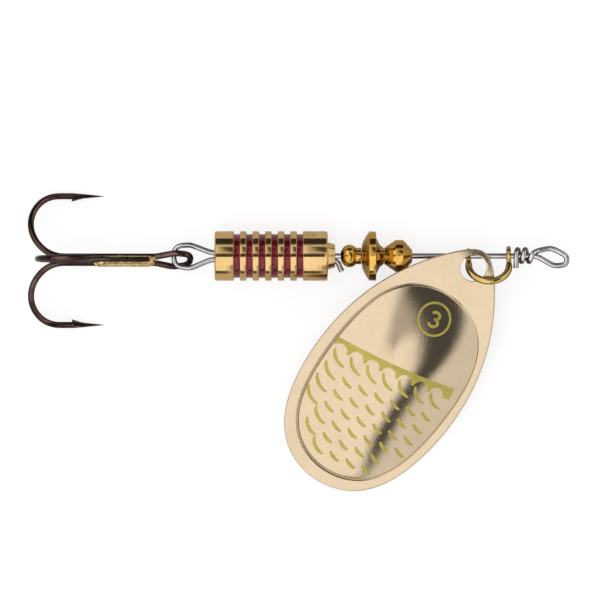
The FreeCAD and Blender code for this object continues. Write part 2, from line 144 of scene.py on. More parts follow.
def grid_skin(rows: Array, ring: bool = False) -> Skin:
    """Close a grid of points into a skin.

    Each row is a closed loop: its last point joins its first. U is the length along the rows, the
    mean step from one row to the next added up, and V is the share of the way round a row.

    Args:
        rows: Points as (rows, columns, 3).
        ring: Join the last row to the first; otherwise a fan closes each end on its row's middle.

    Returns:
        The closed skin.
    """
    count, sides = rows.shape[:2]
    index = np.arange(count * sides).reshape(count, sides)
    beside = np.roll(index, -1, axis=1)
    last = count if ring else count - 1
    quads = np.stack([index, beside, np.roll(beside, -1, axis=0), np.roll(index, -1, axis=0)], axis=-1)
    steps = np.linalg.norm(np.roll(rows, -1, axis=0) - rows, axis=2).mean(axis=1)
    along = np.concatenate([[0.0], np.cumsum(steps)])
    start, end = along[:last, None], along[1 : last + 1, None]
    near, far = np.arange(sides) / sides, (np.arange(sides) + 1) / sides
    corners = ((start, near), (start, far), (end, far), (end, near))
    quad_uvs = np.stack([np.stack(np.broadcast_arrays(*pair), axis=-1) for pair in corners], axis=2)
    points = rows.reshape(-1, 3)
    triangles, triangle_uvs = np.zeros((0, 3), int), np.zeros((0, 3, 2))
    if not ring:
        points = np.concatenate([points, rows[[0, -1]].mean(axis=1)])
        first = np.stack([beside[0], index[0], np.full(sides, count * sides)], axis=-1)
        final = np.stack([index[-1], beside[-1], np.full(sides, count * sides + 1)], axis=-1)
        triangles = np.concatenate([first, final])
        edge = np.stack([far, near, (near + far) / 2], axis=-1)
        ends = np.stack([np.zeros((sides, 3)), np.full((sides, 3), along[count - 1])])
        triangle_uvs = np.stack([ends, np.stack([edge, edge[:, [1, 0, 2]]])], axis=-1).reshape(-1, 3, 2)
    return Skin(points, quads[:last].reshape(-1, 4), triangles, quad_uvs.reshape(-1, 4, 2), triangle_uvs)


def add_object(name: str, data: Any) -> bpy.types.Object:
    """A new object in the scene."""
    item = bpy.data.objects.new(name, data)
    bpy.context.scene.collection.objects.link(item)
    return item


def smooth(mesh: bpy.types.Mesh, sharp: float) -> None:
    """Shade a mesh smooth, apart from edges that turn by more than `sharp` degrees."""
    mesh.shade_smooth()
    mesh.set_sharp_from_angle(angle=math.radians(sharp))


def make_mesh(name: str, skins: list[Skin], sharp: float) -> bpy.types.Object:
    """Put skins into one mesh object.

    Args:
        name: The object's name.
        skins: The closed skins that make up the piece.
        sharp: Edges that turn by more than this, in degrees, stay sharp.

    Returns:
        The new object, in metres.
    """
    skins = [skin.outward() for skin in skins]
    starts = np.cumsum([0] + [len(skin.points) for skin in skins])
    quads = np.concatenate([skin.quads + start for skin, start in zip(skins, starts)])
    triangles = np.concatenate([skin.triangles + start for skin, start in zip(skins, starts)])
    layers = [skin.quad_uvs for skin in skins] + [skin.triangle_uvs for skin in skins]
    uvs = np.concatenate([layer.reshape(-1, 2) for layer in layers])
    points = np.concatenate([skin.points for skin in skins]) * MM
    mesh = bpy.data.meshes.new(name)
    mesh.from_pydata(points, [], quads.tolist() + triangles.tolist())
    mesh.uv_layers.new(name="UVMap").uv.foreach_set("vector", uvs.ravel())
    mesh.validate()
    smooth(mesh, sharp)
    return add_object(name, mesh)


def bent_line(corners: list[Corner], arc_degrees: float = 9.0) -> Array:
    """Points along straight runs joined by a tangent arc at each corner.

    An arc's centre lies on the corner's bisector at radius / cos(half the turn), and the arc
    swings the point where it leaves the run about that centre.

    Args:
        corners: Each corner's point and the radius of its bend.
        arc_degrees: The turn between two points of an arc, at most.

    Returns:
        The points as (n, 3).
    """
    places = np.array([point for point, _ in corners], dtype=float)
    parts = [places[:1]]
    for before, corner, after, (_, radius) in zip(places, places[1:], places[2:], corners[1:]):
        back, ahead = unit(before - corner), unit(after - corner)
        turn = math.pi - math.acos(float(np.clip(back @ ahead, -1.0, 1.0)))
        if turn < TINY_TURN or radius <= 0:
            parts.append(corner[None])
            continue
        centre = corner + unit(back + ahead) * (radius / math.cos(turn / 2))
        out = corner + back * (radius * math.tan(turn / 2)) - centre
        steps = max(2, math.ceil(math.degrees(turn) / arc_degrees) + 1)
        swing = np.linspace(0.0, turn, steps)[:, None]
        parts.append(centre + np.cos(swing) * out - np.sin(swing) * back * radius)
    parts.append(places[-1:])
    return np.concatenate(parts)


def resampled(line: Array, run: Array, stations: Array) -> Array:
    """The points of a line at given lengths along it."""
    return np.stack([np.interp(stations, run, line[:, i]) for i in range(3)], axis=1)


def evenly(line: Array, step: float, ease: float = 0.0) -> Array:
    """Points at even lengths along a line, its bends eased by a moving average.

    Args:
        line: The line's points.
        step: The length between two of the new points.
        ease: The length that the moving average covers, or 0 to leave the bends alone.

    Returns:
        The new points, the two ends unmoved.
    """
    run = along_line(line)
    points = resampled(line, run, np.linspace(0.0, run[-1], max(3, round(run[-1] / step) + 1)))
    half = round(ease / step / 2)
    if half > 0:
        kernel = np.ones(2 * half + 1) / (2 * half + 1)
        start = 2 * points[0] - points[half:0:-1]
        end = 2 * points[-1] - points[-2 : -half - 2 : -1]
        padded = np.concatenate([start, points, end])
        points = np.stack([np.convolve(padded[:, i], kernel, mode="valid") for i in range(3)], axis=1)
    return points


def crossways(line: Array, sides: int) -> Array:
    """Unit vectors round a line that don't twist as it bends.

    A helper direction gives each station a first cross frame. The angle by which the frame before
    it, carried over, differs from its own is added up and turned back out.

    Args:
        line: The stations as (n, 3).
        sides: How many directions go round each station.

    Returns:
        The directions as (n, sides, 3).
    """
    tangent = tangents(line)
    side = unit(np.cross(tangent, CROSS_HELPER))
    lift = np.cross(tangent, side)
    carried = side[:-1] - np.einsum("ij,ij->i", side[:-1], tangent[1:])[:, None] * tangent[1:]
    slip = np.arctan2(*(np.einsum("ij,ij->i", carried, own[1:]) for own in (lift, side)))
    roll = np.concatenate([[0.0], np.cumsum(slip)])
    angle = (roll[:, None] + full_turn(sides))[..., None]
    return np.cos(angle) * side[:, None] + np.sin(angle) * lift[:, None]


def turned(profile: Array, sides: int, front: float) -> Skin:
    """Turn a closed profile about the shaft's axis.

    A profile point is (distance back from the front face, radius); its circle lies at that radius
    round the X axis, at x = -(front + distance).

    Args:
        profile: The closed profile as (n, 2), its last point next to its first.
        sides: The points round each circle.
        front: How far the front face lies behind the origin.

    Returns:
        A ring-shaped skin.
    """
    return grid_skin(circles(-(front + profile[:, :1]), profile[:, 1:], full_turn(sides)), ring=True)


def closed_profile(corners: list[Place]) -> Array:
    """A closed profile with rounded corners, from corners given as (distance, radius, rounding)."""
    middle = ((corners[0][0] + corners[-1][0]) / 2, (corners[0][1] + corners[-1][1]) / 2, 0.0)
    path = [(middle, 0.0)] + [((x, r, 0.0), bend) for x, r, bend in corners] + [(middle, 0.0)]
    return bent_line(path, PROFILE_ARC)[:-1, :2]


def spin(axis: int, degrees: float) -> Array:
    """The 3 x 3 matrix of a right-handed turn about the X, Y or Z axis (0, 1 or 2)."""
    cosine, sine = math.cos(math.radians(degrees)), math.sin(math.radians(degrees))
    first, second = [(1, 2), (2, 0), (0, 1)][axis]
    matrix = np.eye(3)
    matrix[first, first] = matrix[second, second] = cosine
    matrix[first, second], matrix[second, first] = -sine, sine
    return matrix


def ripple(values: Array, seed: float) -> Array:
    """A smooth irregular wave between -1 and 1: three sines whose rates share no common period."""
    waves = np.sin(values + seed) + np.sin(values * 2.37 + 1.7 * seed) + np.sin(values * 0.61 - seed)
    return waves / 3


# ---------------------------------------------------------------- shader tools

class Tree:
    """Adds linked nodes to one node tree."""

    def __init__(self, tree: bpy.types.NodeTree) -> None:
        """Hold the tree that the nodes go into."""
        self.tree = tree

    def node(self, kind: str, inputs: dict[Any, Any], **settings: Any) -> bpy.types.Node:
        """Add a node.

        Args:
            kind: The node's type name.
            inputs: A value or a socket for each input, by the input's name or number.
            settings: The node's own properties.

        Returns:
            The new node.
        """
        node = self.tree.nodes.new(kind)
        for key, value in settings.items():
            setattr(node, key, value)
        for key, value in inputs.items():
            if isinstance(value, Socket):
                self.tree.links.new(value, node.inputs[key])
            else:
                node.inputs[key].default_value = value
        return node

    def math(self, operation: str, *values: Any) -> Socket:
        """The result of a Math node on values or sockets."""
        return self.node("ShaderNodeMath", dict(enumerate(values)), operation=operation).outputs[0]

    def blend(self, factor: Any, first: Any, second: Any) -> Socket:
        """A colour between two colours."""
        inputs = {0: factor, 6: opaque(first), 7: opaque(second)}
        return self.node("ShaderNodeMix", inputs, data_type="RGBA").outputs[2]

    def remap(self, value: Any, low: float, high: float, top: float = 1.0) -> Socket:
        """A value eased from 0 at `low` to `top` at `high`, and held beyond them."""
        inputs = {0: value, 1: low, 2: high, 3: 0.0, 4: top}
        return self.node("ShaderNodeMapRange", inputs, interpolation_type="SMOOTHSTEP").outputs[0]

    def noise(self, vector: Any, scale: Any, detail: float) -> Socket:
        """The value of a 3-D noise."""
        inputs = {"Vector": vector, "Scale": scale, "Detail": detail}
        return self.node("ShaderNodeTexNoise", inputs).outputs[0]

    def effect(self, effect: "Effect", coordinate: Any, size: float, **extra: float) -> Socket:
        """The value of an effect's group, placed in this tree."""
        inputs = {"Coordinate": coordinate, "Size": size, **extra}
        return self.node("ShaderNodeGroup", inputs, node_tree=effect_group(effect)).outputs[0]

    def principled(self, inputs: dict[str, Any]) -> Socket:
        """A Principled BSDF, its Height, if it has one, made a bump in metres."""
        height = inputs.pop("Height", None)
        if height is not None:
            raised = {"Strength": 1.0, "Distance": 1.0, "Height": height}
            inputs["Normal"] = self.node("ShaderNodeBump", raised).outputs[0]
        return self.node("ShaderNodeBsdfPrincipled", inputs).outputs[0]

    def mix(self, factor: Any, first: Socket, second: Socket) -> Socket:
        """A shader between two shaders."""
        return self.node("ShaderNodeMixShader", {0: factor, 1: first, 2: second}).outputs[0]

    def end(self, shader: Socket, kind: str = "ShaderNodeOutputMaterial") -> None:
        """Lead a shader to the tree's output."""
        self.node(kind, {0: shader})


def opaque(colour: Any) -> Any:
    """A colour with an alpha of 1; a socket is returned as it is."""
    return (*colour, 1.0) if isinstance(colour, tuple) and len(colour) == 3 else colour


def bare_tree(owner: Any) -> Tree:
    """The emptied node tree of a material or a world."""
    owner.use_nodes = True
    owner.node_tree.nodes.clear()
    return Tree(owner.node_tree)


class Effect(Enum):
    """The surface effects that several finishes share, each made once as a node group."""

    TURNED_LINES = "turned_lines"
    DRAWN_LINES = "drawn_lines"
    STAINS = "stains"
    GRAIN = "grain"


def effect_group(effect: Effect) -> bpy.types.NodeTree:
    """The node group of an effect, made the first time it is asked for.

    Turned lines are noise that changes only with x plus the distance from the shaft's axis, so it
    runs in circles over a turned piece. Drawn lines are noise squeezed along U, the length of a
    wire. Stains are slow noise cut off at a threshold that falls as they cover more. Grain is
    fine noise.

    Args:
        effect: Which effect.

    Returns:
        The group, with a Coordinate and a Size in, for stains a Cover too, and a Value out.
    """
    if effect.value in bpy.data.node_groups:
        return bpy.data.node_groups[effect.value]
    group = bpy.data.node_groups.new(effect.value, "ShaderNodeTree")
    group.interface.new_socket("Coordinate", in_out="INPUT", socket_type="NodeSocketVector")
    for name in ("Size", "Cover") if effect is Effect.STAINS else ("Size",):
        group.interface.new_socket(name, in_out="INPUT", socket_type="NodeSocketFloat")
    group.interface.new_socket("Value", in_out="OUTPUT", socket_type="NodeSocketFloat")
    tree = Tree(group)
    given = tree.node("NodeGroupInput", {}).outputs
    scale = tree.math("DIVIDE", 1.0, given["Size"])
    if effect is Effect.TURNED_LINES:
        slope, roughness = 0.83, 0.65
        parts = tree.node("ShaderNodeSeparateXYZ", {0: given["Coordinate"]}).outputs
        square = tree.math("MULTIPLY_ADD", parts[1], parts[1], tree.math("MULTIPLY", parts[2], parts[2]))
        place = tree.math("MULTIPLY_ADD", tree.math("SQRT", square), slope, parts[0])
        inputs = {"W": place, "Scale": scale, "Detail": 3.0, "Roughness": roughness}
        value = tree.node("ShaderNodeTexNoise", inputs, noise_dimensions="1D").outputs[0]
    elif effect is Effect.DRAWN_LINES:
        inputs = {0: given["Coordinate"], 1: (0.12, 14.0, 1.0)}
        squeezed = tree.node("ShaderNodeVectorMath", inputs, operation="MULTIPLY")
        value = tree.noise(squeezed.outputs[0], scale, 3.0)
    elif effect is Effect.STAINS:
        highest, fall, softness = 0.70, 0.5, 0.14
        noise = tree.noise(given["Coordinate"], scale, 4.0)
        threshold = tree.math("SUBTRACT", highest, tree.math("MULTIPLY", given["Cover"], fall))
        value = tree.remap(tree.math("SUBTRACT", noise, threshold), 0.0, softness)
    else:
        value = tree.noise(given["Coordinate"], scale, 2.0)
    tree.node("NodeGroupOutput", {0: value})
    return group


# ---------------------------------------------------------------- finishes

class Marks(Enum):
    """How a metal was worked, which decides the lines on it."""

    TURNED = "turned"
    DRAWN = "drawn"
    ROLLED = "rolled"
    CAST = "cast"


@dataclass(frozen=True)
class Finish:
    """A finish in two shades of a colour, made a material the first time it is asked for."""

    name: str
    colour: Colour
    shade: Colour
    roughness: float

    def material(self) -> bpy.types.Material:
        """The finish's material."""
        if self.name not in bpy.data.materials:
            tree = bare_tree(bpy.data.materials.new(self.name))
            coordinate = tree.node("ShaderNodeTexCoord", {}).outputs
            tree.end(tree.principled(self.looks(tree, coordinate)))
        return bpy.data.materials[self.name]

    def looks(self, tree: Tree, coordinate: Any) -> dict[str, Any]:
        """The Principled inputs of the finish, and the Height of its surface."""
        raise NotImplementedError


@dataclass(frozen=True)
class Metal(Finish):
    """A metal finish: two shades of it, stains, a painted dark edge where it turns away from the eye, and
    the marks of how it was worked.
    """

    marks: Marks
    stain_and_edge_shade: Colour
    stain_size: float
    stain_cover: float
    mark_height: float
    mark_size: float = 0.16
    grain_size: float = 0.05
    grain_height: float = 0.0004
    mottle: float = 0.5
    mottle_size: float = 2.2
    mottle_share: float = 0.6
    mottle_span: Span = (0.35, 0.85)
    # rim: how strongly the surface is painted towards the stain colour where it turns away from the eye, a
    # painted dark edge shade, not a stain
    rim: float = 0.0
    painted_edge_span: Span = (0.12, 0.50)
    stain_roughening: float = 0.18
    mark_roughening: float = 0.06
    drawn_size: float = 0.625
    rolled_size: float = 1.1
    rolled_stretch: Place = (22.0, 1.2, 1.0)

    def looks(self, tree: Tree, coordinate: Any) -> dict[str, Any]:
        """The finish's inputs.

        The shade is mixed in by slow noise and by the marks. The stain colour is also painted on as shade
        where the surface turns away from the eye, a painted dark edge that stands in for dark reflections.
        Stains darken and roughen it in patches, and the marks and the grain raise it.

        Args:
            tree: The material's tree.
            coordinate: The outputs of its Texture Coordinate node.

        Returns:
            The inputs by name.
        """
        place = coordinate["Object"]
        marks = self.mark_value(tree, coordinate)
        slow = tree.effect(Effect.GRAIN, place, self.mottle_size * MM)
        grain = tree.effect(Effect.GRAIN, place, self.grain_size * MM)
        stains = tree.effect(Effect.STAINS, place, self.stain_size * MM, Cover=self.stain_cover)
        share = self.mottle_share
        mixed = tree.math("MULTIPLY_ADD", marks, share, tree.math("MULTIPLY", slow, share))
        base = tree.blend(tree.remap(mixed, *self.mottle_span, self.mottle * 2), self.colour, self.shade)
        # painted shade: the colour darkens towards the stain colour at grazing angles, a painted dark edge
        # that stands in for dark reflections
        facing = tree.node("ShaderNodeLayerWeight", {"Blend": 0.5}).outputs["Facing"]
        painted_edge_base = tree.blend(tree.remap(facing, *self.painted_edge_span, self.rim), base, self.stain_and_edge_shade)
        smoothest = self.roughness - self.mark_roughening / 2
        rough = tree.math("MULTIPLY_ADD", marks, self.mark_roughening, smoothest)
        raised = tree.math("MULTIPLY", grain, self.grain_height * MM)
        return {
            "Base Color": tree.blend(stains, painted_edge_base, self.stain_and_edge_shade),
            "Metallic": 1.0,
            "Roughness": tree.math("MULTIPLY_ADD", stains, self.stain_roughening, rough),
            "Height": tree.math("MULTIPLY_ADD", marks, self.mark_height * MM, raised),
        }

    def mark_value(self, tree: Tree, coordinate: Any) -> Socket:
        """The marks' value from 0 to 1, by how the metal was worked."""
        place = coordinate["Object"]
        if self.marks is Marks.TURNED:
            return tree.effect(Effect.TURNED_LINES, place, self.mark_size * MM)
        if self.marks is Marks.DRAWN:
            return tree.effect(Effect.DRAWN_LINES, coordinate["UV"], self.drawn_size)
        if self.marks is Marks.ROLLED:
            turn = (0.0, 0.0, -math.radians(Blade.turn))
            grained = tree.node("ShaderNodeMapping", {0: place, 2: turn, 3: self.rolled_stretch})
            return tree.effect(Effect.GRAIN, grained.outputs[0], self.rolled_size * MM)
        return tree.effect(Effect.GRAIN, place, self.mark_size * MM)


@dataclass(frozen=True)
class Lacquer(Finish):
    """A coloured film over metal: enamel in the grooves, or printed ink."""

    coat: float
    metallic: float
    coat_roughness: float = 0.08
    shade_size: float = 0.8
    shade_span: Span = (0.3, 0.7)
    grain_size: float = 0.12
    grain_height: float = 0.004

    def looks(self, tree: Tree, coordinate: Any) -> dict[str, Any]:
        """The film's inputs: two shades in slow noise, fine grain in the height, a clear coat."""
        slow = tree.effect(Effect.GRAIN, coordinate["Object"], self.shade_size * MM)
        grain = tree.effect(Effect.GRAIN, coordinate["Object"], self.grain_size * MM)
        return {
            "Base Color": tree.blend(tree.remap(slow, *self.shade_span), self.colour, self.shade),
            "Metallic": self.metallic,
            "Roughness": self.roughness,
            "Coat Weight": self.coat,
            "Coat Roughness": self.coat_roughness,
            "Height": tree.math("MULTIPLY", grain, self.grain_height * MM),
        }


# each rim value below sets how dark the painted edge shade is where that metal turns away from the eye
BRIGHT_WIRE = Metal(
    "bright_wire", (0.90, 0.88, 0.92), (0.46, 0.43, 0.46), 0.07, Marks.DRAWN,
    stain_and_edge_shade=(0.022, 0.014, 0.018), stain_size=0.5, stain_cover=0.14, mark_height=0.0025, rim=0.95)
BRONZED_WIRE = Metal(
    "bronzed_wire", (0.25, 0.155, 0.125), (0.075, 0.043, 0.040), 0.10, Marks.DRAWN,
    stain_and_edge_shade=(0.025, 0.016, 0.018), stain_size=0.8, stain_cover=0.25, mark_height=0.003,
    mottle=0.8, rim=1.0)
TURNED_BRASS = Metal(
    "turned_brass", (0.88, 0.63, 0.32), (0.70, 0.45, 0.17), 0.11, Marks.TURNED,
    stain_and_edge_shade=(0.30, 0.15, 0.04), stain_size=0.5, stain_cover=0.12, mark_height=0.0016, rim=0.15)
BEAD_BRASS = Metal(
    "polished_bead_brass", (0.88, 0.58, 0.16), (0.66, 0.36, 0.06), 0.08, Marks.TURNED,
    stain_and_edge_shade=(0.20, 0.085, 0.015), stain_size=0.4, stain_cover=0.16, mark_size=0.1,
    mark_height=0.0005, rim=0.45)
CLEVIS_BRASS = Metal(
    "polished_clevis_brass", (0.84, 0.62, 0.22), (0.52, 0.33, 0.09), 0.07, Marks.DRAWN,
    stain_and_edge_shade=(0.16, 0.085, 0.025), stain_size=0.5, stain_cover=0.16, mark_height=0.0015, rim=0.60)
BLADE_PLATE = Metal(
    "satin_blade_plate", (0.73, 0.59, 0.415), (0.66, 0.525, 0.36), 0.11, Marks.ROLLED,
    stain_and_edge_shade=(0.50, 0.37, 0.23), stain_size=0.35, stain_cover=0.10, mark_height=0.0008, mottle=0.35,
    grain_size=0.13, grain_height=0.0080)
BRAZE_BRASS = Metal(
    "run_braze_brass", (0.88, 0.68, 0.34), (0.60, 0.40, 0.15), 0.18, Marks.CAST,
    stain_and_edge_shade=(0.09, 0.05, 0.03), stain_size=0.35, stain_cover=0.24, mark_size=0.35, mark_height=0.012)
RED_ENAMEL = Lacquer("dark_red_enamel", (0.22, 0.004, 0.022), (0.13, 0.003, 0.013), 0.20, 0.5, 0.55)
PRINT_INK = Lacquer("print_ink", (0.50, 0.42, 0.085), (0.44, 0.36, 0.065), 0.40, 0.2, 0.35)


# ---------------------------------------------------------------- pieces

def settle(item: bpy.types.Object, body: str, slot: str, finish: Finish, *nodes: str) -> None:
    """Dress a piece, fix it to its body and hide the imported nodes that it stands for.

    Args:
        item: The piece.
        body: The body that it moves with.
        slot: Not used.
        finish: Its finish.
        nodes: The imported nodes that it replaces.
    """
    item.data.materials.clear()
    item.data.materials.append(finish.material())
    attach(item, body)
    if nodes:
        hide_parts(*nodes)
    LOG.info("%s: %d faces on %s", item.name, len(item.data.polygons), body)


@dataclass
class ShaftWire:
    """The one bent wire: cut tail, wraps, line eye, shaft, hook loop and the doubled tag."""

    radius: float = 0.29
    wrap_radius: float = 0.67
    wrap_pitch: float = 0.84
    wrap_side: float = 0.05
    wrap_first: float = -4.10
    wrap_sides: int = 8
    wrap_bend: float = 0.60
    wraps: int = 2
    tail_end: float = -1.35
    sides: int = 24
    step: float = 0.09
    ease: float = 0.55
    chamfer: float = 0.05

    def corners(self) -> list[Corner]:
        """The wire's corners and bend radii, from the cut tail round to the tag."""
        outside = self.wrap_radius / math.cos(math.pi / self.wrap_sides)
        turns = (np.arange(self.wraps * self.wrap_sides) + 0.5) / self.wrap_sides
        across = self.wrap_side + outside * np.sin(2 * np.pi * turns)
        height = outside * np.cos(2 * np.pi * turns)
        places = np.stack([self.wrap_first + self.wrap_pitch * turns, across, height], axis=1)
        return [
            ((self.wrap_first, self.tail_end, self.wrap_radius), 0.0),
            *((tuple(place), self.wrap_bend) for place in places),
            ((-2.25, outside * 0.4, outside * 0.92), 0.34),
            ((-1.70, 0.58, 0.20), 0.34),
            ((-0.15, 0.90, 0.0), 1.30),
            ((1.62, -0.05, 0.0), 0.60),
            ((1.42, -0.96, 0.0), 0.38),
            ((0.15, -1.12, 0.0), 1.30),
            ((-1.80, 0.0, 0.0), 1.20),
            ((-24.2, 0.0, 0.0), 2.0),
            ((-37.5, 0.33, 0.0), 3.0),
            ((-39.9, 1.24, 0.0), 1.20),
            ((-41.7, 1.08, 0.0), 0.90),
            ((-41.7, -1.08, 0.0), 0.90),
            ((-39.9, -1.36, 0.0), 1.20),
            ((-37.5, -0.33, 0.0), 3.0),
            ((-23.62, -0.56, 0.0), 0.36),
            ((-23.55, -1.00, 0.0), 0.30),
            ((-23.20, -1.72, 0.0), 0.0),
        ]

    def build(self) -> None:
        """Sweep the wire: its radius is constant but for a chamfer at each cut end."""
        line = evenly(bent_line(self.corners()), self.step, self.ease)
        run = along_line(line)
        from_end = np.minimum(run, run[-1] - run)
        radius = self.radius - self.chamfer * np.clip(1 - from_end / self.step, 0, 1)
        rows = line[:, None] + crossways(line, self.sides) * radius[:, None, None]
        item = make_mesh("shaft_wire_skin", [grid_skin(rows)], 50.0)
        settle(item, "shaft", "steel_wire", BRIGHT_WIRE, "shaft_wire")


class BeadKind(Enum):
    """The three turned beads, from the front."""

    BELL = "bell"
    DISC = "disc"
    BALL = "ball"


@dataclass
class TurnedBead:
    """One turned brass bead, bored for the shaft."""

    kind: BeadKind
    front: float
    bore: float = 0.36
    sides: int = 96
    collar: float = 0.91
    ball_radius: float = 1.25
    ball_half_length: float = 1.02
    ball_centre: float = 1.27
    ball_steps: int = 32

    def profile(self) -> Array:
        """The bead's closed half-section, as (distance back, radius) points."""
        if self.kind is BeadKind.BELL:
            return closed_profile([
                (0.0, self.bore, 0.04), (0.0, 0.66, 0.10), (0.45, 1.17, 0.30), (1.00, 1.76, 0.06),
                (1.80, 1.76, 0.06), (2.86, 1.02, 0.30), (3.06, 0.90, 0.05), (3.06, self.bore, 0.04)])
        if self.kind is BeadKind.DISC:
            return closed_profile([
                (0.0, self.bore, 0.04), (0.0, 0.86, 0.06), (0.45, 1.22, 0.35), (0.83, 1.96, 0.25),
                (0.88, 2.70, 0.06), (1.60, 2.70, 0.06), (1.92, 2.28, 0.30), (2.34, 1.50, 0.30),
                (2.47, 0.85, 0.05), (2.47, self.bore, 0.04)])
        return self.ball_profile()

    def ball_profile(self) -> Array:
        """A short collar in front of an oblate ball.

        The ball's section is an ellipse: distance = centre - half-length cos a, radius = ball
        radius sin a, for a from where the collar meets it round to the bore.
        """
        begin = math.asin(self.collar / self.ball_radius)
        end = math.pi - math.asin(self.bore / self.ball_radius)
        ball = arc(np.linspace(begin, end, self.ball_steps)) * [-self.ball_half_length, self.ball_radius]
        ball[:, 0] += self.ball_centre
        front = bent_line([
            ((0.6, self.bore, 0.0), 0.0), ((0.0, self.bore, 0.0), 0.04), ((0.0, self.collar, 0.0), 0.09),
            ((float(ball[0, 0]), self.collar, 0.0), 0.0)], PROFILE_ARC)[:-1, :2]
        return np.concatenate([front, ball])

    def build(self) -> None:
        """Turn the bead."""
        node = "%s_bead" % self.kind.value
        item = make_mesh(node + "_skin", [turned(self.profile(), self.sides, self.front)], 32.0)
        settle(item, self.kind.value, "bead_brass", BEAD_BRASS, node)


@dataclass
class GroovedWeight:
    """The brass casting weight with its spigot and six grooves, and the enamel in them."""

    front: float = 23.97
    bore: float = 0.92
    spigot: float = 0.83
    spigot_tip: float = 1.25
    spigot_root: float = 1.50
    root_fillet: float = 0.05
    radius: float = 2.72
    shoulder: float = 2.60
    edge: float = 0.12
    barrel: float = 12.16
    groove_first: float = 2.70
    groove_width: float = 0.69
    groove_pitch: float = 1.383
    groove_floor: float = 2.33
    grooves: int = 6
    rounding: float = 0.08
    enamel: float = 0.07
    enamel_creep: float = 0.07
    enamel_sunk: float = 0.02
    enamel_half_width: float = 0.495
    sides: int = 144

    def groove_starts(self) -> list[float]:
        """How far back from the front face each groove starts."""
        return [self.spigot + self.groove_first + i * self.groove_pitch for i in range(self.grooves)]

    def profile(self) -> Array:
        """The weight's closed half-section with a rounded edge on every land."""
        end = self.spigot + self.barrel + 2 * self.edge
        corners = [
            (0.0, self.bore, 0.05), (0.0, self.spigot_tip, 0.08),
            (self.spigot - self.root_fillet, self.spigot_root, 0.05),
            (self.spigot, self.shoulder, 0.05), (self.spigot + self.edge, self.radius, 0.04)]
        for start in self.groove_starts():
            stop = start + self.groove_width
            corners += [
                (start, self.radius, self.rounding), (start, self.groove_floor, 0.05),
                (stop, self.groove_floor, 0.05), (stop, self.radius, self.rounding)]
        corners += [
            (end - self.edge, self.radius, 0.04), (end, self.shoulder, 0.05), (end, self.bore, 0.06)]
        return closed_profile(corners)

    def enamel_ring(self, start: float) -> Skin:
        """One ring of enamel: its surface creeps up both groove walls like any wetting liquid.

        Its radius is the groove floor plus the film, plus a creep that grows with the sixth power
        of the distance from the groove's middle.
        """
        across = np.linspace(-1.0, 1.0, 15)
        x = start + self.groove_width * (0.5 + self.enamel_half_width * across)
        top = self.groove_floor + self.enamel + self.enamel_creep * across ** 6
        floor = np.full(2, self.groove_floor - self.enamel_sunk)
        profile = np.concatenate([np.stack([x, top], axis=1), np.stack([x[[-1, 0]], floor], axis=1)])
        return turned(profile, self.sides, self.front)

    def build(self) -> None:
        """Turn the weight and fill its grooves."""
        item = make_mesh("grooved_weight_skin", [turned(self.profile(), self.sides, self.front)], 32.0)
        settle(item, "weight", "weight_brass", TURNED_BRASS, "grooved_weight")
        rings = [self.enamel_ring(start) for start in self.groove_starts()]
        item = make_mesh("groove_enamel_skin", rings, 40.0)
        settle(item, "weight", "red_enamel", RED_ENAMEL, "groove_enamel")


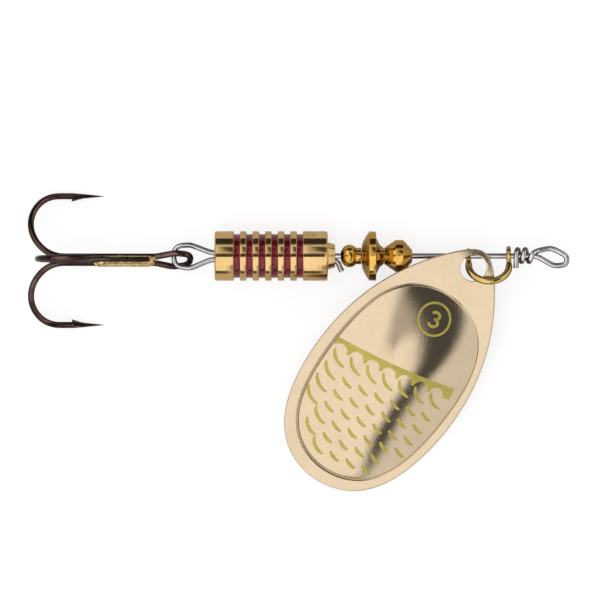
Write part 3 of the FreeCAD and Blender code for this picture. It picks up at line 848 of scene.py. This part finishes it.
@dataclass
class Clevis:
    """The folded brass wire that carries the blade: a bow whose arms are flattened into eyes."""

    wire: float = 0.39
    half_span: float = 2.21
    middle: float = -7.09
    arm: float = 1.45
    eye: float = 1.08
    rear_eye: float = 0.84
    eye_half_thickness: float = 0.24
    flat_until: float = 1.55
    flat_ease: float = 1.10
    flat_power: float = 0.40
    width_average: int = 5
    bore: float = 0.36
    drill_spare: float = 2.0
    hole_lip: float = 0.03
    tilt: float = -41.0
    sides: int = 32

    def rows(self) -> Array:
        """The flattened wire's stations.

        The line is a half circle with two straight arms, in the clevis's own XY plane. Near an end
        the half-width is the circle of the eye, never under the wire's own; the half-thickness
        eases from the eye's to the wire's; and the section changes from a box to a circle by the
        power on its cosine and sine.
        """
        bow = np.linspace(0.0, math.pi, 61)
        curve = np.stack([np.cos(bow), -np.sin(bow), 0 * bow], axis=1) * self.half_span
        curve[:, 1] -= self.arm
        ends = np.array([[self.half_span, self.eye, 0.0], [-self.half_span, self.rear_eye, 0.0]])
        line = np.concatenate([ends[:1], curve, ends[1:]])
        run = along_line(line)
        swing = 1 - np.cos(np.linspace(0.06, math.pi / 2, 14))
        middle = np.linspace(self.eye, run[-1] - self.rear_eye, 90)
        stations = np.unique(np.concatenate([self.eye * swing, middle, run[-1] - self.rear_eye * swing]))
        line = resampled(line, run, stations)
        front = stations < run[-1] / 2
        eye = np.where(front, self.eye, self.rear_eye)
        from_end = np.where(front, stations, run[-1] - stations)
        ease = np.clip((from_end - self.flat_until * eye) / (self.flat_ease * eye), 0, 1)
        ease = ease * ease * (3 - 2 * ease)
        disc = np.sqrt(np.clip(eye ** 2 - (eye - from_end) ** 2, 0, None))
        width = np.maximum(disc, np.where(from_end > eye, self.wire, 0.0))
        kernel = np.ones(self.width_average) / self.width_average
        eased = np.convolve(np.pad(width, self.width_average // 2, mode="edge"), kernel, mode="valid")
        width = np.where(from_end > eye, eased, width)
        thick = self.eye_half_thickness + (self.wire - self.eye_half_thickness) * ease
        power = (self.flat_power + (1 - self.flat_power) * ease)[:, None]
        angle = full_turn(self.sides)
        cosine, sine = np.cos(angle)[None], np.sin(angle)[None]
        flat = np.sign(cosine) * np.abs(cosine) ** power * thick[:, None]
        wide = np.sign(sine) * np.abs(sine) ** power * width[:, None]
        up = np.array([0.0, 0.0, 1.0])
        inward = np.cross(up, tangents(line))
        return line[:, None] + flat[..., None] * inward[:, None] + wide[..., None] * up

    def build(self) -> None:
        """Sweep the clevis, drill its eyes and tilt it."""
        place = (self.middle, 0.0, 0.0)
        item = make_mesh("clevis_skin", [grid_skin(self.rows()).moved(spin(0, self.tilt), place)], 40.0)
        axis = np.array([1.0, 0.0, 0.0])
        drill_hole(item, self.bore, place, axis, 2 * self.half_span + self.drill_spare, self.hole_lip)
        settle(item, "clevis", "clevis_brass", CLEVIS_BRASS, "clevis")


def drill_hole(
    item: bpy.types.Object, radius: float, centre: Place, axis: Array, length: float, lip: float
) -> None:
    """Drill a round hole through a piece and break the hole's two edges.

    Args:
        item: The piece, whose mesh is replaced.
        radius: The hole's radius in millimetres.
        centre: A point on the hole's axis, in millimetres.
        axis: The direction of the hole.
        length: The length of the drill, centred on the point.
        lip: How wide the broken edge is.
    """
    across = np.linspace(-length / 2, length / 2, 2)[:, None] * axis + np.array(centre)
    drill = make_mesh("drill", [grid_skin(across[:, None] + crossways(across, 64) * radius)], 30.0)
    cut = item.modifiers.new("drilled", "BOOLEAN")
    cut.object = drill
    cut.solver = "EXACT"
    edge = item.modifiers.new("broken_edge", "BEVEL")
    edge.width = lip * MM
    edge.segments = 3
    edge.limit_method = "ANGLE"
    edge.angle_limit = math.radians(55)
    graph = bpy.context.evaluated_depsgraph_get()
    mesh = bpy.data.meshes.new_from_object(item.evaluated_get(graph))
    item.modifiers.clear()
    item.data = mesh
    smooth(mesh, 40.0)
    bpy.data.objects.remove(drill)


@dataclass
class Blade:
    """The pressed sheet-brass blade: an egg outline, a flat rim, a dome and a hole at the head.

    In the blade's own frame the hole is the origin, -Y runs to the tail and +Z is the domed side.
    """

    turn: float = -37.6
    thickness: float = 0.50
    hole: float = 1.48
    hole_lip: float = 0.09
    drill_length: float = 4.0
    head: float = 2.12
    tail: float = 29.25
    outline_terms: tuple[float, ...] = (8.41, -2.77, -0.23, -0.46)
    dome_start: float = 3.85
    dome_end: float = 27.70
    dome_terms: tuple[float, ...] = (8.52, 0.085, 0.91)
    dome_shift: float = 0.21
    dome_height: float = 2.40
    dome_power: float = 0.94
    groove_depth: float = 0.07
    groove_width: float = 0.11
    curl: float = 0.042
    curl_from: float = 1.2
    edge: float = 0.13
    pitch: float = 6.9
    roll: float = 8.4
    place: Place = (-8.80, -1.35, 1.57)
    around: int = 288
    outline_steps: int = 2400

    def egg(self, terms: tuple[float, ...], head: float, tail: float, shift: float) -> Array:
        """A closed egg outline, as (n, 2) points.

        For an angle a round the outline, y runs from the head to the tail as middle + reach cos a
        and the half-width is sin a times the sum of term k times cos k a.
        """
        angle = np.linspace(0.0, 2 * np.pi, self.outline_steps + 1)[:-1]
        series = sum(term * np.cos(k * angle) for k, term in enumerate(terms))
        middle, reach = (head + tail) / 2, (head - tail) / 2
        return np.stack([shift + np.sin(angle) * series, middle + reach * np.cos(angle)], axis=1)

    def centre(self) -> Array:
        """The middle of the dome."""
        return np.array([self.dome_shift, -(self.dome_start + self.dome_end) / 2])

    def reach(self, outline: Array, angle: Array) -> Array:
        """The distance from the dome's middle to an outline at the given angles."""
        away = outline - self.centre()
        bearing = np.arctan2(away[:, 1], away[:, 0])
        order = np.argsort(bearing)
        return np.interp(angle, bearing[order], np.linalg.norm(away, axis=1)[order], period=2 * np.pi)

    def dome_reach(self, angle: Array) -> Array:
        """The distance from the dome's middle to its own outline at the given angles."""
        outline = self.egg(self.dome_terms, -self.dome_start, -self.dome_end, self.dome_shift)
        return self.reach(outline, angle)

    def height(self, points: Array) -> Array:
        """The height of the blade's middle surface at (..., 2) points.

        With q the distance from the dome's middle as a share of the distance to the dome's
        outline, the dome is its height times a power of (1 - q squared), and a narrow pressed
        groove, a bell curve in the distance from the outline, runs round its foot. The head curls
        down with the square of the distance past a line across it.
        """
        away = points - self.centre()
        distance = np.linalg.norm(away, axis=-1)
        limit = self.dome_reach(np.arctan2(away[..., 1], away[..., 0]))
        dome = self.dome_height * np.clip(1 - (distance / limit) ** 2, 0, None) ** self.dome_power
        groove = self.groove_depth * np.exp(-(((distance - limit) / self.groove_width) ** 2))
        curl = self.curl * np.clip(points[..., 1] + self.curl_from, 0, None) ** 2
        return dome - groove - curl

    def turn_matrix(self) -> Array:
        """How the blade hangs: turned in plan, then pitched and rolled."""
        return spin(2, self.turn) @ spin(0, self.pitch) @ spin(1, self.roll)

    def rows(self) -> Array:
        """The blade's closed loops of points, from the top's middle over the edge and back under.

        A loop of the dome is the dome's outline shrunk to its middle; a loop of the rim lies
        between the dome's outline and the blade's, less the edge rounding; the edge is a quarter
        circle above and below. The loops crowd together at the dome's foot.
        """
        angle = full_turn(self.around)
        ray = arc(angle)
        inner = self.dome_reach(angle)
        outer = self.reach(self.egg(self.outline_terms, self.head, -self.tail, 0.0), angle)
        dome_shares = np.concatenate([np.linspace(0.02, 0.955, 44), np.linspace(0.965, 1.0, 9)])
        rim_shares = np.concatenate([np.linspace(0.02, 0.18, 7), np.linspace(0.25, 1.0, 14)])
        rim = inner + (outer - self.edge - inner) * rim_shares[:, None]
        reach = np.concatenate([inner * dome_shares[:, None], rim])
        flat = self.centre() + reach[..., None] * ray
        top = raised(flat, self.height(flat) + self.thickness / 2)
        swing = np.linspace(0.0, np.pi / 2, 6)[1:, None]
        curve = self.centre() + (outer - self.edge + self.edge * np.sin(swing))[..., None] * ray
        level = self.height(flat[-1])
        drop = self.thickness / 2 - self.edge * (1 - np.cos(swing))
        upper, lower = raised(curve, level + drop), raised(curve, level - drop)
        under = top - np.array([0.0, 0.0, self.thickness])
        return np.concatenate([top, upper, lower[::-1], under[::-1]])

    def build(self) -> None:
        """Press the blade, pierce its hole and print it."""
        turn = self.turn_matrix()
        item = make_mesh("blade_skin", [grid_skin(self.rows()).moved(turn, self.place)], 40.0)
        drill_hole(item, self.hole, self.place, turn[:, 2], self.drill_length, self.hole_lip)
        settle(item, "blade", "blade_plate", BLADE_PLATE, "blade")
        BladePrint(self).build()


@dataclass
class BladePrint:
    """The ink on the dome: a ringed numeral, a scalloped band and rows of scale marks.

    The print has its own axes on the blade: `right` along the band and `down` to the tail, turned
    a little from the blade's. Its origin is the left end of the band's upper edge.
    """

    blade: Blade
    slant: float = 12.6
    origin: Span = (-7.36, -14.93)
    film: float = 0.02
    bury: float = 0.05
    numeral_centre: Span = (8.74, -6.22)
    ring_radius: float = 1.76
    ring_line: float = 0.12
    numeral_line: float = 0.15
    upper_bowl: Place = (0.46, 0.37, -0.40)
    lower_bowl: Place = (0.52, 0.42, 0.39)
    bowl_sweep: Span = (-160.0, 90.0)
    band_length: float = 14.1
    band: float = 0.52
    pitch: float = 1.93
    teeth: float = 0.80
    tooth_phase: float = 0.1
    arch_width: float = 0.84
    flare_depth: float = 1.35
    flare_length: float = 1.25
    flare_ease: float = 0.5
    first_mark: Span = (0.22, 1.02)
    row_step: Span = (-0.30, 1.65)
    rows: int = 8
    columns: tuple[int, int] = (-1, 9)
    mark_drop: float = 1.72
    mark_line: float = 0.20
    mark_starts: Span = (0.15, 0.62)
    mark_end: float = 1.45
    mark_points: int = 10
    clear_right: float = 0.45
    clear_left: float = 0.25

    def to_blade(self, points: Array) -> Array:
        """Print coordinates, right and down, as the blade's own X and Y."""
        angle = math.radians(self.slant)
        right = np.array([math.cos(angle), math.sin(angle)])
        down = np.array([math.sin(angle), -math.cos(angle)])
        return np.array(self.origin) + points[..., :1] * right + points[..., 1:2] * down

    def film_skin(self, grid: Array) -> Skin:
        """A closed film over a grid of print points, (stations, columns, 2), laid on the dome."""
        flat = self.to_blade(grid)
        surface = self.blade.height(flat) + self.blade.thickness / 2
        top, under = raised(flat, surface + self.film), raised(flat, surface - self.bury)
        skin = grid_skin(np.concatenate([top, under[:, ::-1]], axis=1))
        return skin.moved(self.blade.turn_matrix(), self.blade.place)

    def stroke(self, line: Array, half_width: Array) -> Skin:
        """A stroke of ink along a line of print points, offset to both sides by its half-width."""
        along = tangents(line)
        side = np.stack([-along[:, 1], along[:, 0]], axis=1)
        offset = np.linspace(-1.0, 1.0, 4) * half_width[:, None]
        return self.film_skin(line[:, None] + side[:, None] * offset[..., None])

    def numeral(self) -> list[Skin]:
        """A plain 3 in a ring: two bowls, each part of an ellipse, that meet at the waist."""
        centre = np.array(self.numeral_centre)
        ring = centre + self.ring_radius * arc(np.linspace(0.0, 2 * np.pi, 97))
        sweep = np.radians(np.linspace(*self.bowl_sweep, 24))
        parts = []
        for (wide, tall, middle), angle in ((self.upper_bowl, sweep), (self.lower_bowl, -sweep[::-1])):
            parts.append(np.array([0.0, middle]) + arc(angle) * [wide, tall])
        line = centre + np.concatenate([parts[0], parts[1][1:]])
        return [
            self.stroke(ring, np.full(len(ring), self.ring_line)),
            self.stroke(line, np.full(len(line), self.numeral_line)),
        ]

    def scalloped_band(self) -> Skin:
        """The band: its lower edge hangs in teeth with a round arch between each two.

        Within a pitch, u from -1 to 1 between two teeth, the arch leaves a depth of
        teeth (1 - square root of (1 - u squared)), with u widened so that a tooth ends blunt. The
        right end flares into a block.
        """
        right = np.linspace(0.0, self.band_length, 260)
        within = (2 * ((right / self.pitch + self.tooth_phase) % 1.0) - 1) / self.arch_width
        depth = self.band + self.teeth * (1 - np.sqrt(np.clip(1 - within ** 2, 0, 1)))
        flare = np.clip((right - self.band_length + self.flare_length) / self.flare_ease, 0, 1)
        depth = np.maximum(depth, self.flare_depth * flare)
        grid = np.broadcast_arrays(right[:, None], depth[:, None] * np.linspace(0.0, 1.0, 8))
        return self.film_skin(np.stack(grid, axis=-1))

    def scale_marks(self) -> list[Skin]:
        """Rows of curved marks, kept where they lie on the dome.

        A mark is a stretch of the lower left quarter of an ellipse with blunt ends. It is long in
        the first row and at the left of every row, and elsewhere starts lower down.
        """
        marks = []
        half_width = self.mark_line * np.sin(np.linspace(0.35, 2.85, self.mark_points)) ** 0.5
        for row in range(self.rows):
            left = True
            for column in range(*self.columns):
                place = np.array([column * self.pitch, 0.0]) + row * np.array(self.row_step)
                start = self.mark_starts[0 if left or row == 0 else 1]
                curve = arc(np.linspace(start, self.mark_end, self.mark_points))
                curve[:, 0] = 1 - curve[:, 0]
                line = np.array(self.first_mark) + place + np.array([self.pitch, self.mark_drop]) * curve
                if self.on_dome(line):
                    marks.append(self.stroke(line, half_width))
                    left = False
        return marks

    def on_dome(self, line: Array) -> bool:
        """Whether a line stays clear of the dome's foot, further on its right side than its left."""
        away = self.to_blade(line) - self.blade.centre()
        limit = self.blade.dome_reach(np.arctan2(away[:, 1], away[:, 0]))
        wanted = np.where(away[:, 0] > 0, self.clear_right, self.clear_left)
        return bool((limit - np.linalg.norm(away, axis=1) > wanted).all())

    def build(self) -> None:
        """Lay all the ink as one piece."""
        skins = self.numeral() + [self.scalloped_band()] + self.scale_marks()
        settle(make_mesh("blade_print", skins, 40.0), "blade", "blade_plate", PRINT_INK)


@dataclass
class TrebleHook:
    """The treble hook: a double hook with the eye, a single hook laid on it, and the braze.

    In the hook's own frame the eye's round end is the origin and -X runs down the shank.
    """

    wire: float = 0.345
    strand: float = 0.405
    reach: float = 3.90
    small_bend: float = 3.05
    large_bend: float = 4.25
    corner: float = 14.02
    point_start: float = 7.76
    taper: float = 3.60
    fullness: float = 0.22
    tip: float = 0.03
    barb_heel: float = 3.55
    barb_length: float = 1.35
    barb_height: float = 0.36
    barb_lean: float = 0.55
    cut_end: float = 3.40
    cut_edge: float = 0.04
    neck: float = 2.60
    neck_bend: float = 0.90
    eye: float = 1.15
    eye_turn: float = 57.0
    double_arms: Span = (-30.0, 210.0)
    single_arm: float = 90.0
    pitch: float = 10.0
    roll: float = -1.0
    place: Place = (-41.10, -0.42, 0.10)
    braze_start: float = 2.45
    braze_end: float = 9.80
    braze_ends: float = 0.18
    braze_valley: float = 0.46
    braze_body: float = 0.785
    wet_middle: float = 163.0
    wet_half: float = 66.0
    sides: int = 28
    step: float = 0.09
    ease: float = 0.4

    @staticmethod
    def around(back: float, out: float, degrees: float) -> Place:
        """A point `back` along the shank and `out` from its axis, at an angle from +Y to +Z."""
        angle = math.radians(degrees)
        return (-back, out * math.cos(angle), out * math.sin(angle))

    def arm(self, degrees: float) -> list[Corner]:
        """The corners of one arm, from the shank round its bend to the point."""
        outer = self.strand + 2 * self.reach
        return [
            (self.around(self.corner, self.strand, degrees), self.small_bend),
            (self.around(self.corner + self.reach, self.strand + self.reach, degrees), self.large_bend),
            (self.around(self.corner, outer, degrees), self.small_bend),
            (self.around(self.point_start, outer, degrees), 0.0),
        ]

    def hooked_wire(self, corners: list[Corner], points: list[tuple[bool, float]]) -> Skin:
        """Sweep a wire and grind a point with a barb at its named ends.

        From the tip the radius grows in line with the length, a little fuller in the middle. The
        barb lifts the side that faces the shank: its height grows from its nose to its heel and
        then stops, its breadth is a narrow power of the cosine, and it leans back from the point.

        Args:
            corners: The wire's corners.
            points: For each ground end, whether it is the wire's first end, and its arm's angle.

        Returns:
            The wire's skin, in the hook's own frame.
        """
        line = evenly(bent_line(corners), self.step, self.ease)
        run = along_line(line)
        directions = crossways(line, self.sides)
        radius = np.full(len(line), self.wire)
        lift = np.zeros((len(line), self.sides))
        lean = np.zeros((len(line), self.sides))
        for first, degrees in points:
            from_tip = run if first else run[-1] - run
            share = np.clip(from_tip / self.taper, 0, 1)
            ground = share * (1 + self.fullness * (1 - share)) + self.tip
            radius = np.minimum(radius, self.wire * ground)
            inward = -np.array(self.around(0.0, 1.0, degrees))
            facing = np.clip(directions @ inward, 0, 1) ** 5
            ramp = np.clip((from_tip - self.barb_heel + self.barb_length) / self.barb_length, 0, 1)
            ramp = np.where(from_tip > self.barb_heel, 0.0, ramp ** 1.4)
            lift += self.barb_height * ramp[:, None] * facing
            back = self.barb_lean * self.barb_height * (1 if first else -1)
            lean += back * (ramp ** 3)[:, None] * facing
        cut = np.clip(1 - np.minimum(run, run[-1] - run) / self.step, 0, 1)
        radius = radius - self.cut_edge * cut * (radius > self.wire / 2)
        rows = line[:, None] + directions * (radius[:, None] + lift)[..., None]
        return grid_skin(rows + tangents(line)[:, None] * lean[..., None])

    def double_hook(self) -> Skin:
        """Two arms and the eye between them, bent from one wire."""
        first, second = self.double_arms
        wide, full, round_end = self.eye - 0.15, self.eye + 0.17, -self.eye - 0.05
        loop = [
            (self.around(self.neck, self.strand, first), self.neck_bend),
            (self.around(0.60, full, self.eye_turn), 1.00),
            (self.around(round_end, wide, self.eye_turn), 0.95),
            (self.around(round_end, -wide, self.eye_turn), 0.95),
            (self.around(0.60, -full, self.eye_turn), 1.00),
            (self.around(self.neck, self.strand, second), self.neck_bend),
        ]
        corners = self.arm(first)[::-1] + loop + self.arm(second)
        return self.hooked_wire(corners, [(True, first), (False, second)])

    def single_hook(self) -> Skin:
        """The third arm, cut off behind the eye."""
        start = (self.around(self.cut_end, self.strand, self.single_arm), 0.0)
        return self.hooked_wire([start] + self.arm(self.single_arm), [(False, self.single_arm)])

    def braze(self) -> Skin:
        """The brass run along the strands.

        Round the shank's axis its radius is large over the -Y side, where the brass wets the
        strand, and small elsewhere, where the strands stand out of it; slow waves along the shank
        make it uneven, and it thins to nothing at both ends.
        """
        along = np.linspace(self.braze_start, self.braze_end, 110)[:, None]
        angle = full_turn(72)[None]
        wet = np.exp(-(((np.degrees(angle) - self.wet_middle) / self.wet_half) ** 8))
        body = self.braze_valley + (self.braze_body - self.braze_valley) * wet
        body = body + 0.012 * ripple(along * 1.9 + 0 * angle, 2.0)
        body = body + 0.010 * ripple(along * 3.1 + 2 * angle, 5.0)
        edge = np.minimum(along - self.braze_start, self.braze_end - along)
        edge = edge - 0.25 * (1 + ripple(3 * angle, 1.0))
        radius = self.braze_ends + (body - self.braze_ends) * np.sqrt(np.clip(edge / 0.9, 0.0, 1.0))
        return grid_skin(circles(-along, radius, angle))

    def build(self) -> None:
        """Bend the two hooks and braze them."""
        turn = spin(1, self.pitch) @ spin(0, self.roll)
        for node, skin, slot, finish in (
            ("double_hook", self.double_hook(), "bronzed_steel", BRONZED_WIRE),
            ("single_hook", self.single_hook(), "bronzed_steel", BRONZED_WIRE),
            ("braze", self.braze(), "braze_brass", BRAZE_BRASS),
        ):
            item = make_mesh(node + "_skin", [skin.moved(turn, self.place)], 50.0)
            settle(item, "hook", slot, finish, node)


# ---------------------------------------------------------------- studio

@dataclass
class Studio:
    """A pale floor, soft light from all round and a camera straight above."""

    camera_place: Place = (-27.83, -4.84, 550.0)
    lens: float = 300.0
    sensor: float = 36.0
    floor_half: float = 1.5
    floor_shades: tuple[Colour, Colour] = ((0.88, 0.88, 0.875), (0.92, 0.92, 0.915))
    floor_roughness: float = 0.75
    floor_grain: float = 0.02
    floor_mirrored: Colour = (0.60, 0.57, 0.53)
    floor_glow: float = 1.08
    floor_lift: float = 0.72
    flag_low: Span = (-38.6, -0.5)
    flag_high: Span = (-24.6, 1.0)
    flag_height: float = 7.0
    flag_colour: Colour = (0.10, 0.08, 0.06)
    light_colour: Colour = (1.0, 0.985, 0.96)
    bright: float = 1.18
    middle: float = 0.60
    beige: float = 0.88
    gap: float = 0.085
    dark: float = 0.035
    panel_middle: Span = (-0.35, -0.20)
    panel_edge: Span = (0.63, 0.73)
    sliver_edge: Span = (0.83, 0.95)
    right_edge: Span = (0.02, 0.14)
    right_lean: float = 0.2
    low_edge: Span = (0.66, 0.73)
    strip_front: Span = (0.0, 0.05)
    strip_side: Span = (-0.22, -0.06)
    beyond: Span = (0.72, 0.87)
    horizon: Span = (0.33, 0.22)
    zenith: Span = (0.9985, 0.9995)
    zenith_share: float = 0.9
    lamp_place: Place = (-0.35, -0.25, 1.2)
    lamp_size: float = 1.0
    lamp_energy: float = 5.0

    def build(self) -> None:
        """Lay the floor, light the room and set up the camera."""
        self.lay_floor()
        self.light_room()
        self.hang_lamp()
        self.hang_flag()
        camera = bpy.data.cameras.new("camera")
        camera.lens = self.lens
        camera.sensor_width = self.sensor
        camera.clip_start, camera.clip_end = 0.01, 20.0
        item = add_object("camera", camera)
        item.location = [value * MM for value in self.camera_place]
        bpy.context.scene.camera = item
        bpy.context.scene.view_settings.view_transform = "Standard"

    def lay_floor(self) -> None:
        """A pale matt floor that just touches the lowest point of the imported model.

        The camera sees it lifted towards white, as an overexposed table, with faint shadows.
        Polished metal sees it dimmer than it is, as if the lure hung clear of it.
        """
        corner = self.floor_half / MM
        _, tree = self.stage_sheet("floor", (-corner, -corner), (corner, corner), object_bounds()[0].z / MM)
        coordinate = tree.node("ShaderNodeTexCoord", {}).outputs["Object"]
        grain = tree.effect(Effect.GRAIN, coordinate, self.floor_grain)
        pale, dim = (
            tree.principled({"Base Color": colour, "Roughness": self.floor_roughness})
            for colour in (tree.blend(grain, *self.floor_shades), opaque(self.floor_mirrored)))
        white = {"Color": (1.0, 1.0, 1.0, 1.0), "Strength": self.floor_glow}
        glow = tree.node("ShaderNodeEmission", white).outputs[0]
        ray = tree.node("ShaderNodeLightPath", {}).outputs
        seen = tree.mix(tree.math("MULTIPLY", ray["Is Camera Ray"], self.floor_lift), pale, glow)
        tree.end(tree.mix(ray["Is Glossy Ray"], seen, dim))

    def hang_flag(self) -> None:
        """A dark flag over the weight, seen only in reflections, that draws the line along its top."""
        flag, tree = self.stage_sheet("flag", self.flag_low, self.flag_high, self.flag_height)
        tree.end(tree.principled({"Base Color": opaque(self.flag_colour), "Roughness": 0.9}))
        flag.visible_camera = flag.visible_diffuse = flag.visible_shadow = False

    @staticmethod
    def stage_sheet(name: str, low: Span, high: Span, z: float) -> tuple[bpy.types.Object, Tree]:
        """Lay a level sheet in the studio.

        Args:
            name: The sheet's name.
            low: Its lowest X and Y in millimetres.
            high: Its highest X and Y in millimetres.
            z: Its height in millimetres.

        Returns:
            The sheet and the empty tree of its material.
        """
        mesh = bpy.data.meshes.new(name)
        flat = [(low[0], low[1]), (high[0], low[1]), (high[0], high[1]), (low[0], high[1])]
        mesh.from_pydata([(x * MM, y * MM, z * MM) for x, y in flat], [], [(0, 1, 2, 3)])
        item = add_object(name, mesh)
        material = bpy.data.materials.new(name + "_surface")
        mesh.materials.append(material)
        item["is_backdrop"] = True
        return item, bare_tree(material)

    def light_level(self, tree: Tree) -> Socket:
        """The light's level, as a function of the direction that it comes from.

        With (x, y) the direction's part along the table: a bright panel fills a wide circle over
        the -X and -Y side. Outside it, low on the +X side, stands a dimmer panel, with a dark gap
        between the two. A strip over the +Y side is dim, the room beyond the table and the -X
        horizon are dark, and the camera is a small dark spot overhead.
        """
        direction = tree.node("ShaderNodeTexCoord", {}).outputs["Generated"]
        x, y, z = tree.node("ShaderNodeSeparateXYZ", {0: direction}).outputs
        flat = tree.node("ShaderNodeCombineXYZ", {0: x, 1: y}).outputs[0]

        def away(px: float, py: float) -> Socket:
            """How far (x, y) is from a point."""
            inputs = {0: flat, 1: (px, py, 0.0)}
            return tree.node("ShaderNodeVectorMath", inputs, operation="DISTANCE").outputs["Value"]

        def both(first: Any, second: Any) -> Socket:
            """The share where two shares hold together."""
            return tree.math("MULTIPLY", first, second)

        def dim(level: Any, share: Any, to: float) -> Socket:
            """A level moved by a share towards another level."""
            return tree.math("MULTIPLY_ADD", share, tree.math("SUBTRACT", to, level), level)

        from_panel = away(*self.panel_middle)
        outside = tree.remap(from_panel, *self.panel_edge)
        leaning = tree.math("MULTIPLY_ADD", tree.math("MAXIMUM", y, 0.0), self.right_lean, x)
        right = tree.remap(leaning, *self.right_edge)
        low = both(tree.remap(away(0.0, 0.0), *self.low_edge), tree.remap(from_panel, *self.sliver_edge))
        gap = both(both(outside, right), tree.math("SUBTRACT", 1.0, low))
        left_horizon = both(tree.remap(z, *self.horizon), tree.math("SUBTRACT", 1.0, right))
        level: Any = self.bright
        for share, to in (
            (both(tree.remap(y, *self.strip_front), tree.remap(x, *self.strip_side)), self.middle),
            (both(low, right), self.beige),
            (gap, self.gap),
            (tree.remap(y, *self.beyond), self.dark),
            (left_horizon, self.gap),
            (tree.remap(z, *self.zenith, self.zenith_share), self.dark),
        ):
            level = dim(level, share, to)
        return level

    def light_room(self) -> None:
        """Light from large soft panels; the camera itself sees plain white beyond the floor."""
        world = bpy.data.worlds.new("studio_light")
        tree = bare_tree(world)
        lit, plain = (
            tree.node("ShaderNodeBackground", {"Color": opaque(colour), "Strength": level}).outputs[0]
            for colour, level in ((self.light_colour, self.light_level(tree)), ((1.0, 1.0, 1.0), 1.0)))
        seen = tree.node("ShaderNodeLightPath", {}).outputs["Is Camera Ray"]
        tree.end(tree.mix(seen, lit, plain), "ShaderNodeOutputWorld")
        bpy.context.scene.world = world

    def hang_lamp(self) -> None:
        """A large soft lamp overhead that shows in no reflection."""
        lamp = bpy.data.lights.new("overhead_panel", "AREA")
        lamp.shape = "SQUARE"
        lamp.size = self.lamp_size
        lamp.energy = self.lamp_energy
        item = add_object("overhead_panel", lamp)
        item.location = self.lamp_place
        item.visible_glossy = False


def main() -> None:
    """Build the studio and then every piece of the spinner."""
    logging.basicConfig(level=logging.INFO, format="%(name)s %(message)s")
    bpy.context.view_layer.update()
    Studio().build()
    ShaftWire().build()
    Clevis().build()
    Blade().build()
    for kind, front in ((BeadKind.BELL, 15.50), (BeadKind.DISC, 18.60), (BeadKind.BALL, 21.11)):
        TurnedBead(kind, front).build()
    GroovedWeight().build()
    TrebleHook().build()


if __name__ == "__main__":
    main()
